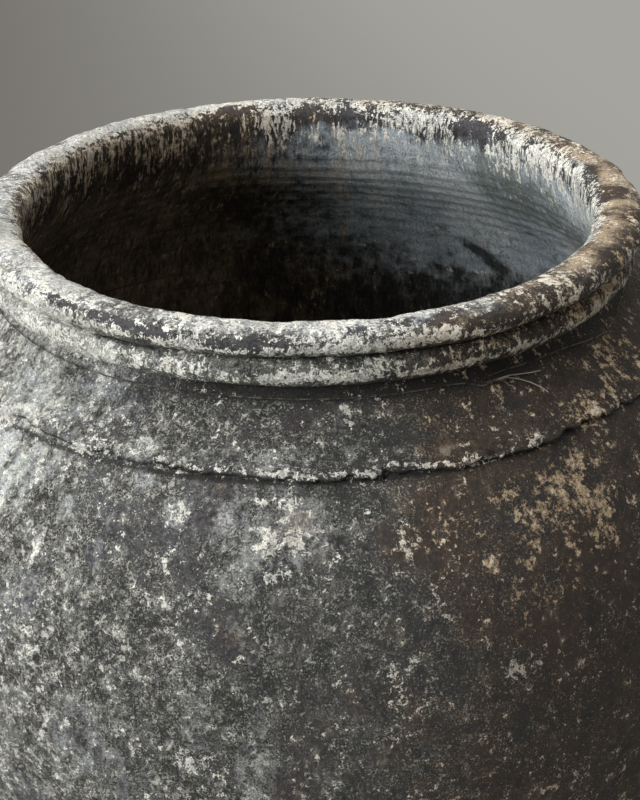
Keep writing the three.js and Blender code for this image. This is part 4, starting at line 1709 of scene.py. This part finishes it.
@dataclass
class Ring:
    """A ring of clay that stands for one of the frame's solids.

    Attributes:
        node, slot: the name of the solid and of the piece, and the record's material slot.
        finish: how its clay is finished.
        profile, weather: the pot's section, and what lies on the clay.
    """

    node: str
    slot: str
    finish: ClayFinish
    profile: Profile = PROFILE
    weather: Weather = field(default_factory=Weather)

    def stretches(self) -> list[Stretch]:
        """The section, stretch by stretch, down the outside and up the inside."""
        raise NotImplementedError

    def shaped(self, skin: Skin) -> Skin:
        """A skin after the ring's own shaping, which is none here."""
        return skin

    def lifted(self, skin: Skin) -> Array:
        """How far the weather lifts each place of a skin that shows."""
        return self.weather.relief(skin)

    def build(self, turns: Array) -> bpy.types.Object:
        """Builds the ring's mesh.

        Args:
            turns: the turn of each column.

        Returns:
            The object, dressed and riding its body.
        """
        rows: list[Array] = []
        fields: dict[str, list[Array]] = {}
        for stretch in self.stretches():
            skin = self.shaped(stretch.skin(turns))
            lifted = np.zeros_like(skin.way) if stretch.side is Side.BED else self.lifted(skin)
            drawn = skin.ring + skin.out * lifted[..., None]
            drawn[..., 0] += self.weather.sway(skin)
            keep = slice(1, -1) if stretch.side is Side.BED else slice(None)
            rows.append(skin.spread(drawn)[keep] * MM)
            painted = self.weather.painted(skin)
            for name, values in painted.items():
                fields.setdefault(name, []).append(values[keep])
            fields.setdefault("unrolled", []).append(skin.unrolled()[keep] * MM)
        grid = np.concatenate(rows)
        piece = self.meshed(grid, {name: np.concatenate(parts) for name, parts in fields.items()})
        stand_in(piece, Body.VESSEL, self.node)
        return piece

    def meshed(self, grid: Array, fields: dict[str, Array]) -> bpy.types.Object:
        """Makes the closed ring mesh of a grid.

        Args:
            grid: the points in metres, rows round the section and columns round the pot.
            fields: what each point carries.

        Returns:
            The object.
        """
        rows, columns = grid.shape[:2]
        index = np.arange(rows * columns).reshape(rows, columns)
        below = np.roll(index, -1, axis=0)
        quads = np.stack([index, below, np.roll(below, -1, axis=1), np.roll(index, -1, axis=1)], axis=-1)
        mesh = bpy.data.meshes.new(self.node)
        mesh.vertices.add(rows * columns)
        mesh.vertices.foreach_set("co", grid.astype(np.float32).ravel())
        mesh.loops.add(quads.size)
        mesh.loops.foreach_set("vertex_index", quads.astype(np.int32).ravel())
        mesh.polygons.add(rows * columns)
        mesh.polygons.foreach_set("loop_start", np.arange(0, quads.size, 4, dtype=np.int32))
        mesh.update(calc_edges=True)
        mesh.polygons.foreach_set("use_smooth", np.ones(rows * columns, dtype=bool))
        mesh.set_sharp_from_angle(angle=SHARP_EDGE)
        for name, values in fields.items():
            vector = values.ndim == 3
            layer = mesh.attributes.new(name, "FLOAT_VECTOR" if vector else "FLOAT", "POINT")
            layer.data.foreach_set("vector" if vector else "value", values.astype(np.float32).ravel())
        mesh.validate()
        mesh.materials.append(self.finish.material())
        return placed(self.node, mesh)


@dataclass
class RimLip(Ring):
    """The broad upper roll of the rim.

    Attributes:
        pressed, pressed_over: how far the mouth is pressed in, and where on the lip.
        widened, widened_over: how far the lip bulges out, and where.
        sunk, sunk_over: how far the crown has sunk, and where.
    """

    pressed: Course = Course(
        (-180, -130, -95, -60, -30, 40, 75, 105, 140, 180), (0, 0.6, 2.4, 2.2, 0.3, 0.2, 1.8, 1.2, 0, 0)
    )
    pressed_over: Band = Band(-32, 10, 6, 14)
    widened: Course = Course((40, 72, 110, 150), (0, 2, 2.4, 0))
    widened_over: Band = Band(-6, 14, 26, 6)
    sunk: Course = Course(
        (-180, -140, -60, -38, -14, 8, 26, 60, 145, 180), (1.7, 0.9, 0.4, 1, 2.7, 2.7, 1.2, 0.2, 0.4, 1.7)
    )
    sunk_over: Swell = Swell(-1, 11)

    def shaped(self, skin: Skin) -> Skin:
        """The lip pressed in at both sides of the mouth, its groove partly filled at the left.

        Args:
            skin: the section as drawn.

        Returns:
            The skin, with its places moved.
        """
        if skin.side is Side.OUTER:
            turn, way = np.degrees(skin.turn), skin.way
            skin.ring[..., 0] -= self.pressed.at(turn) * self.pressed_over.at(way)
            skin.ring[..., 0] += self.widened.at(turn) * self.widened_over.at(way)
            skin.ring[..., 1] -= self.sunk.at(turn) * self.sunk_over.at(way)
            skin.ring[..., 0] += self.weather.groove_fill(skin)
        return skin

    def stretches(self) -> list[Stretch]:
        """Draws the section.

        Returns:
            Its stretches, from the throat over the crown to the groove, and back along the bed.
        """
        p = self.profile
        centre = p.lip_centre
        half = p.lip_width / 2
        swell, start = p.inner(p.groove_height, centre[1])
        tuck = math.degrees(math.acos((p.groove_radius - centre[0]) / half))
        crown = ellipse(centre, half, p.lip_crown, 180.0, 0.0)
        under = ellipse(centre, half, p.lip_under, 0.0, -tuck)
        under[-1, 1] = p.groove_height
        skin = np.concatenate([swell, crown[1:], under[1:]])
        bed = np.stack([under[-1], swell[0]])
        return [Stretch(Side.OUTER, skin, 0.8, start), Stretch(Side.BED, bed, 6.0)]


@dataclass
class RimBead(Ring):
    """The lower, smaller roll of the rim."""

    way: float = 26.0

    def shaped(self, skin: Skin) -> Skin:
        """The bead, its groove partly filled at the left.

        Args:
            skin: the section as drawn.

        Returns:
            The skin, with its places moved.
        """
        if skin.side is Side.OUTER:
            skin.ring[..., 0] += self.weather.groove_fill(skin)
        return skin

    def stretches(self) -> list[Stretch]:
        """Draws the section.

        Returns:
            Its stretches, round the bulge, along the lower bed, up the throat and back.
        """
        p = self.profile
        centre = np.array([p.groove_radius, p.neck_top + p.bead_height / 2])
        bulge = ellipse(centre, p.bead_bulge, p.bead_height / 2, 90.0, -90.0)
        neck = np.array([[p.groove_radius - p.neck_undercut, p.neck_top]])
        throat, start = p.inner(p.neck_top, p.groove_height)
        return [
            Stretch(Side.OUTER, np.concatenate([bulge, neck]), 0.7, self.way),
            Stretch(Side.BED, np.stack([neck[0], throat[0]]), 4.0),
            Stretch(Side.INNER, throat, 1.2, start),
            Stretch(Side.BED, np.stack([throat[-1], bulge[0]]), 4.0),
        ]


@dataclass
class ShoulderCollar(Ring):
    """The collar from the shoulder to the bead, its lower edge torn over the wall.

    Attributes:
        way, edge_way: the ways at its top and at its edge.
        reach: how far the edge reaches down at each turn.
        wander, fray: how far it wanders over a long and a short way.
        bites, bite_from, bite_depth: lumps whose peaks are bitten out, and how deep.
        step, worn: how high the edge stands over the wall, and lumps by which it is lower.
        near, close: how far above the edge the reach and the step start.
        lip_falls, lip_reaches: how steeply the edge rounds over, and how far.
        seat_gap: how far the collar's bed lies inside the wall's face.
    """

    way: float = 46.5
    edge_way: float = 89.2
    reach: Course = Course(
        (-180, -90, -50, -30, -10, 20, 50, 90, 180), (0, -2, -4, -1.5, 0, 0.5, 1.5, 1, 0)
    )
    wander: Lumps = Lumps(30, 81, height=1.8)
    fray: Lumps = Lumps(7, 87, height=1.3)
    bites: Lumps = Lumps(11, 91, 2)
    bite_from: float = 0.35
    bite_depth: float = 5.0
    step: Course = Course(
        (-180, -60, -34, -20, -8, 12, 32, 46, 62, 180), (1.6, 1.8, 2.2, 2.4, 2.6, 2.8, 2.8, 2.2, 1.6, 1.6)
    )
    worn: Lumps = Lumps(14, 95, 2, height=0.5)
    near: Ramp = Ramp(-24, 22)
    close: Ramp = Ramp(-15, 14)
    lip_falls: tuple[float, float] = (40, 75)
    lip_reaches: tuple[float, float] = (0.9, 1.1)
    seat_gap: float = 0.8

    def shaped(self, skin: Skin) -> Skin:
        """The collar with its lower edge torn, and lowest where it fades into the wall.

        Args:
            skin: the section as drawn.

        Returns:
            The skin, with the places near the edge moved.
        """
        if skin.side is not Side.OUTER:
            return skin
        p = self.profile
        turn = np.degrees(skin.turn)
        edge = skin.spread(np.broadcast_to(p.ridge_edge, skin.ring.shape))
        reach = self.reach.at(turn) + self.wander.at(edge) + self.fray.at(edge)
        reach = reach - self.bite_depth * np.maximum(self.bites.at(edge) - self.bite_from, 0.0)
        sink = p.lap_step - self.step.at(turn) + np.maximum(self.worn.at(edge), 0.0)
        above = skin.way - self.edge_way
        skin.ring = skin.ring + (self.near.at(above) * reach)[..., None] * falling(p.neck_foot_slope)
        skin.ring = skin.ring - (self.close.at(above) * sink)[..., None] * square_to(falling(p.seat_slope))
        return skin

    def stretches(self) -> list[Stretch]:
        """Draws the section.

        Returns:
            Its stretches, down the neck, over the torn edge, along the seat and up the throat.
        """
        p = self.profile
        neck = p.neck()
        gap = self.seat_gap * square_to(falling(p.seat_slope))
        sunk, top = p.ridge_foot - gap, p.seat_top - gap
        over = [neck[-1] + reach * falling(fall) for reach, fall in zip(self.lip_reaches, self.lip_falls)]
        edge = bend(neck[-1], *over, sunk)
        throat, start = p.inner(p.seat_inner[1], p.neck_top)
        return [
            Stretch(Side.OUTER, np.concatenate([neck, edge[1:]]), 0.75, self.way),
            Stretch(Side.BED, np.stack([sunk, top]), 3.0),
            Stretch(Side.BED, np.stack([top, throat[0]]), 3.0),
            Stretch(Side.INNER, throat, 1.4, start),
            Stretch(Side.BED, np.stack([throat[-1], neck[0]]), 4.0),
        ]


@dataclass
class UpperWall(Ring):
    """The wall from the belly to the shoulder."""

    way: float = 76.0

    def stretches(self) -> list[Stretch]:
        """Draws the section.

        Returns:
            Its stretches, down the seat and shoulder, across the belly's bed and up the inside.
        """
        p = self.profile
        seat = np.stack([p.seat_top, p.seat_end])
        outside = np.concatenate([seat, p.shoulder()[1:]])
        inside, start = p.inner(p.belly_height, p.seat_inner[1])
        return [
            Stretch(Side.OUTER, outside, 1.15, self.way),
            Stretch(Side.BED, np.stack([outside[-1], inside[0]]), 4.0),
            Stretch(Side.INNER, inside, 2.2, start),
            Stretch(Side.BED, np.stack([inside[-1], outside[0]]), 3.0),
        ]


@dataclass
class LowerWall(Ring):
    """The wall from the floor to the belly."""

    way: float = 268.0

    def stretches(self) -> list[Stretch]:
        """Draws the section.

        Returns:
            Its stretches, down the outside, across the floor's bed and up the inside.
        """
        p = self.profile
        outside = p.foot_wall()
        inside = p.foot_wall(inside=True)
        start = p.inner(p.belly_height, p.lip_centre[1])[1] - length_along(inside)[-1]
        return [
            Stretch(Side.OUTER, outside, 1.9, self.way),
            Stretch(Side.BED, np.stack([outside[-1], inside[0]]), 4.0),
            Stretch(Side.INNER, inside, 3.4, start),
            Stretch(Side.BED, np.stack([inside[-1], outside[0]]), 4.0),
        ]


@dataclass
class FloorSlab(Ring):
    """The flat disc under the pot.

    Attributes:
        way, under_way, inner_way: the ways at its upper edge, where its underside starts and
            at the middle of its upper face.
        hole: how far from the axis its mesh closes, in millimetres.
    """

    way: float = 560.0
    under_way: float = 582.0
    inner_way: float = -680.0
    hole: float = 0.25

    def stretches(self) -> list[Stretch]:
        """Draws the section.

        Returns:
            Its stretches, out over the floor, round the foot's edge and back underneath.
        """
        p = self.profile
        rounding = np.array([p.foot_radius - p.foot_round, p.foot_round])
        side = np.concatenate([
            [[p.foot_radius, p.floor]],
            ellipse(rounding, p.foot_round, p.foot_round, 0.0, -90.0),
        ])
        return [
            Stretch(Side.OUTER, side, 1.4, self.way),
            Stretch(Side.OUTER, np.array([side[-1], [self.hole, 0.0]]), 7.0, self.under_way),
            Stretch(Side.BED, np.array([[self.hole, 0.0], [self.hole, p.floor]]), 8.0),
            Stretch(Side.INNER, np.array([[self.hole, p.floor], side[0]]), 5.0, self.inner_way),
        ]

    def lifted(self, skin: Skin) -> Array:
        """The relief, which fades to nothing underneath, so that the pot stands firm."""
        return super().lifted(skin) * smooth(skin.ring[..., 1] / self.profile.foot_round)


@dataclass(frozen=True)
class TieWire:
    """A thin two-strand wire, tied round the neck with a hooked twist and two loose tails.

    Its route repeats the frame's own wire; sizes are in millimetres and degrees. The tails'
    spots are measured from the twist's end, the others from the knot.
    """

    diameter: float = 0.6
    clearance: float = 0.35
    knot_angle: float = 27.5
    loop_drop: float = 7.0
    loop_sag: float = 5.4
    knot_reach: float = 21.0
    sag_angle: float = 28.5
    sag_spread: float = 8.5
    loop_wander: float = 0.7
    twist_below_loop: float = 3.4
    twist_turns: float = 4.5
    twist_pitch: float = 2.6
    strand_gap: float = 0.6
    loop_steps: int = 240
    steps_per_turn: int = 12
    lay: float = 2.4
    strand: float = 0.34
    sides: int = 6
    upper_tail: Run = ((4, 0.5), (9, 1.5), (14, 2.4), (18, 2.9))
    lower_tail: Run = ((2.8, 0.7), (6, 2.4), (10, 5.4), (13.5, 9.4), (15, 12.6))
    lead_in: Run = ((-2.6, -0.2), (-5, -1.4))
    lead_on: Run = ((-9, 0.9), (-15, 0.3))
    hook: Run = ((12, -0.3), (6, 0.1), (2, 0.5), (0, 0.8), (-1.2, 1.2), (-1.7, 1.8))
    hook_end: Run = ((-1.2, -0.3),)
    twist_starts: tuple[float, float] = (0.25, 0.75)
    wander_waves: int = 7
    steps_per_lay: int = 8
    softenings: int = 3
    # How far from the wire's ends it is made lighter, in millimetres.
    lighter_reach: float = 24.0
    node: str = "tie_wire"
    slot: str = "rusted_steel"
    finish: WireFinish = WireFinish()

    @property
    def lift(self) -> float:
        """How far the wire's middle lies above the clay."""
        return self.clearance + self.diameter / 2

    @property
    def strand_radius(self) -> float:
        """How far the twist's two runs wind from its middle."""
        return (self.diameter + self.strand_gap) / 2

    def on_neck(self, spots: list[Spot]) -> Array:
        """Places over the neck.

        Args:
            spots: millimetres round from the knot, millimetres down from the bead, and the lift.

        Returns:
            The places as x, y and z in millimetres.
        """
        neck = PROFILE.neck()
        along = length_along(neck)
        out = square_to(ahead_along(neck))
        spot = np.array(spots)
        clay = np.stack([np.interp(spot[:, 1], along, neck[:, k]) for k in (0, 1)], axis=-1)
        side = np.stack([np.interp(spot[:, 1], along, out[:, k]) for k in (0, 1)], axis=-1)
        section = clay + side * spot[:, 2:]
        radius = float(np.interp(self.loop_drop, along, neck[:, 0]))
        turn = math.radians(self.knot_angle) + spot[:, 0] / radius
        across = section[:, 0]
        return np.stack([across * np.sin(turn), -across * np.cos(turn), section[:, 1]], axis=-1)

    def twist(self, phase: float) -> list[Spot]:
        """One run of the twist, from the knot to where the tails part.

        Args:
            phase: the part of a turn at which it enters.

        Returns:
            Its spots on the neck.
        """
        steps = round(self.twist_turns * self.steps_per_turn)
        spots = []
        for step in range(steps + 1):
            turn = FULL_TURN * (phase + self.twist_turns * step / steps)
            down = self.loop_drop + self.twist_below_loop + self.strand_radius * math.sin(turn)
            lift = self.lift + self.strand_radius * (1 + math.cos(turn))
            spots.append((self.twist_turns * self.twist_pitch * step / steps, down, lift))
        return spots

    def loop(self) -> list[Spot]:
        """The loop round the neck.

        Returns:
            Its spots on the neck, from left of the knot back to right of it.
        """
        neck = PROFILE.neck()
        radius = float(np.interp(self.loop_drop, length_along(neck), neck[:, 0]))
        gap = math.degrees(self.knot_reach / radius)
        spots = []
        for step in range(self.loop_steps + 1):
            away = 360 - gap - (360 - 2 * gap) * step / self.loop_steps
            sag = self.loop_sag * math.exp(-(((away - self.sag_angle) / self.sag_spread) ** 2))
            wave = math.sin(math.radians(self.wander_waves * away)) * math.sin(math.radians(away))
            down = self.loop_drop + self.loop_wander * wave + sag
            spots.append((math.radians(away) * radius, down, self.lift))
        return spots

    def spots(self, run: Run, round_from: float, down_from: float) -> list[Spot]:
        """The spots of a short run of the wire, moved round and down the neck."""
        return [(round_from + across, down_from + down, self.lift) for across, down in run]

    def route(self) -> Array:
        """The wire's whole run: a tail, the twist, the loop, the hook, the twist and a tail.

        Returns:
            The run as x, y and z in millimetres.
        """
        reach = self.twist_turns * self.twist_pitch
        low = self.loop_drop + self.twist_below_loop + self.strand_radius
        high = low - 2 * self.strand_radius
        upper = self.spots(self.upper_tail, reach, high)
        lower = self.spots(self.lower_tail, reach, low)
        start, end = self.twist_starts
        ends_low = math.sin(FULL_TURN * (start + self.twist_turns)) > 0
        first, last = (lower, upper) if ends_low else (upper, lower)
        spots = first[::-1] + self.twist(start)[::-1]
        spots += self.spots(self.lead_in, 0.0, low) + self.spots(self.lead_on, 0.0, self.loop_drop)
        spots += self.loop()
        spots += self.spots(self.hook, 0.0, self.loop_drop) + self.spots(self.hook_end, 0.0, high)
        return self.on_neck(spots + self.twist(end) + last)

    def tube(self, path: Array, spin: float) -> tuple[Array, Array]:
        """One strand, wound round the wire's route.

        Args:
            path: the route in millimetres, evenly spaced.
            spin: the strand's place round the route at its start, in radians.

        Returns:
            Points in metres and faces of four indices.
        """
        ahead = ahead_along(path)
        side = np.cross(ahead, np.array([0.0, 0.0, 1.0]))
        side /= np.linalg.norm(side, axis=1, keepdims=True)
        other = np.cross(ahead, side)
        wound = spin + length_along(path) * FULL_TURN / self.lay
        offset = (self.diameter - self.strand) / 2
        middle = path + offset * (np.cos(wound)[:, None] * side + np.sin(wound)[:, None] * other)
        around = FULL_TURN * np.arange(self.sides) / self.sides
        ring = np.cos(around)[None, :, None] * side[:, None] + np.sin(around)[None, :, None] * other[:, None]
        points = middle[:, None] + self.strand / 2 * ring
        index = np.arange(len(path) * self.sides).reshape(len(path), self.sides)
        turned = np.roll(index, -1, axis=1)
        quads = np.stack([index[:-1], turned[:-1], turned[1:], index[1:]], axis=-1).reshape(-1, 4)
        caps = []
        for row, flip in ((index[0], True), (index[-1], False)):
            for k in range(1, self.sides - 2, 2):
                cap = [row[0], row[k], row[k + 1], row[k + 2]]
                caps.append(cap[::-1] if flip else cap)
        return points.reshape(-1, 3) * MM, np.concatenate([quads, np.array(caps)])

    def lighter_ends_share(self, along: Array) -> Array:
        """How much lighter the wire is made, from 0 to 1: on both tails and in the twist."""
        nearest = np.minimum(along, along[-1] - along)
        return np.interp(nearest, [0.0, self.lighter_reach, 1.5 * self.lighter_reach], [1.0, 0.7, 0.0])

    def build(self) -> bpy.types.Object:
        """Builds both strands.

        Returns:
            The object, dressed and riding its body.
        """
        route = self.route()
        along = length_along(route)
        even = np.arange(0.0, along[-1], self.lay / self.steps_per_lay)
        path = np.stack([np.interp(even, along, route[:, k]) for k in range(3)], axis=-1)
        for _ in range(self.softenings):
            path[1:-1] = (path[:-2] + 2 * path[1:-1] + path[2:]) / 4
        points, faces, total = [], [], 0
        for spin in (0.0, math.pi):
            strand, quads = self.tube(path, spin)
            points.append(strand)
            faces.append(quads + total)
            total += len(strand)
        mesh = bpy.data.meshes.new(self.node)
        mesh.from_pydata(np.concatenate(points).tolist(), [], np.concatenate(faces).tolist())
        mesh.polygons.foreach_set("use_smooth", np.ones(len(mesh.polygons), dtype=bool))
        ends = np.tile(np.repeat(self.lighter_ends_share(even), self.sides), 2)
        lighter_ends = mesh.attributes.new("lighter_ends", "FLOAT", "POINT")
        lighter_ends.data.foreach_set("value", ends.astype(np.float32))
        mesh.materials.append(self.finish.material())
        piece = placed(self.node, mesh)
        stand_in(piece, Body.WIRE, self.node)
        return piece


@dataclass(frozen=True)
class Eye:
    """The camera, where the photograph was taken from.

    Attributes:
        place: where it stands, in metres.
        pitch_down, roll: how far it looks down and is rolled, in degrees.
        lens, sensor: the focal length and the sensor's width, in millimetres.
        shift_x: how far the picture is shifted, in widths.
    """

    place: tuple[float, float, float] = (0.0, -0.7335, 0.7699)
    pitch_down: float = 28.2
    roll: float = -0.89
    lens: float = 67.5
    sensor: float = 36.0
    shift_x: float = 0.0135

    def build(self) -> bpy.types.Object:
        """Makes the scene's camera.

        Returns:
            The camera.
        """
        data = bpy.data.cameras.new("eye")
        data.lens = self.lens
        data.sensor_width = self.sensor
        data.shift_x = self.shift_x
        camera = bpy.data.objects.new("eye", data)
        tilt = Matrix.Rotation(math.radians(90.0 - self.pitch_down), 4, "X")
        roll = Matrix.Rotation(math.radians(self.roll), 4, "Z")
        camera.matrix_world = Matrix.Translation(self.place) @ tilt @ roll
        bpy.context.scene.collection.objects.link(camera)
        bpy.context.scene.camera = camera
        return camera


@dataclass(frozen=True)
class Softbox:
    """A soft lamp that looks at the pot.

    Attributes:
        name: the lamp's name.
        place, size: where it hangs and how long its sides are, in metres.
        power, colour: its power in watts, and its colour.
        aim: what it looks at.
    """

    name: str
    place: tuple[float, float, float]
    size: float
    power: float
    colour: Colour = (1.0, 1.0, 1.0)
    aim: tuple[float, float, float] = (0.0, 0.0, 0.4)

    def build(self) -> bpy.types.Object:
        """Hangs the lamp.

        Returns:
            The lamp.
        """
        data = bpy.data.lights.new(self.name, "AREA")
        data.shape = "SQUARE"
        data.size = self.size
        data.energy = self.power
        data.color = self.colour
        lamp = bpy.data.objects.new(self.name, data)
        lamp.location = self.place
        lamp.rotation_mode = "QUATERNION"
        ahead = Vector(self.aim) - Vector(self.place)
        lamp.rotation_quaternion = ahead.to_track_quat("-Z", "Y")
        bpy.context.scene.collection.objects.link(lamp)
        return lamp


@dataclass(frozen=True)
class Studio:
    """The floor, the sky and the lamps."""

    floor_radius: float = 40.0
    floor_corners: int = 120
    finish: StageFinish = StageFinish()
    sky: Colour = (0.3, 0.3, 0.3)
    lamps: tuple[Softbox, ...] = (
        Softbox("window", (-1.95, -1.05, 1.28), 1.4, 67.0, (0.97, 0.99, 1.0)),
        Softbox("ceiling", (-0.4, 0.5, 2.6), 2.6, 70.0),
    )

    def build(self) -> None:
        """Lays the floor, hangs the lamps and sets the sky and the view."""
        turns = np.linspace(0.0, FULL_TURN, self.floor_corners, endpoint=False)
        edge = self.floor_radius * np.stack([np.cos(turns), np.sin(turns), 0.0 * turns], axis=1)
        mesh = bpy.data.meshes.new("floor")
        mesh.from_pydata(edge.tolist(), [], [tuple(range(self.floor_corners))])
        mesh.materials.append(self.finish.material())
        placed("floor", mesh)
        for lamp in self.lamps:
            lamp.build()
        world = bpy.data.worlds.new("sky")
        world.use_nodes = True
        tree = world.node_tree
        ground = tree.nodes["Background"]
        ground.inputs["Color"].default_value = (*self.sky, 1.0)
        seen = tree.nodes.new("ShaderNodeBackground")
        seen.inputs["Color"].default_value = (*self.finish.sky, 1.0)
        mix = tree.nodes.new("ShaderNodeMixShader")
        tree.links.new(seen_rays(tree), mix.inputs["Fac"])
        tree.links.new(ground.outputs[0], mix.inputs[1])
        tree.links.new(seen.outputs[0], mix.inputs[2])
        tree.links.new(mix.outputs[0], tree.nodes["World Output"].inputs["Surface"])
        bpy.context.scene.world = world
        bpy.context.scene.view_settings.view_transform = "Standard"


def main() -> None:
    """Loads the frame and builds the scene round it."""
    logging.basicConfig(level=logging.INFO, format="%(name)s: %(message)s")
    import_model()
    Eye().build()
    Studio().build()
    turns = Columns().turns()
    LOG.info("%d columns", len(turns))
    bare = ClayFinish("bare clay", lime_relief=0.4)
    crusted = ClayFinish("crusted clay")
    limed = ClayFinish("limed clay", lime_grain=2.2, lime_relief=0.6, grit_relief=0.42)
    rings = (
        FloorSlab("floor_slab", "bare_clay", bare),
        LowerWall("lower_wall", "bare_clay", bare),
        UpperWall("upper_wall", "crusted_clay", crusted),
        ShoulderCollar("shoulder_collar", "crusted_clay", crusted),
        RimBead("rim_bead", "limed_clay", limed),
        RimLip("rim_lip", "limed_clay", limed),
    )
    for ring in rings:
        piece = ring.build(turns)
        LOG.info("%s: %d faces", piece.name, len(piece.data.polygons))
    wire = TieWire().build()
    LOG.info("%s: %d faces", wire.name, len(wire.data.polygons))


if __name__ == "__main__":
    main()
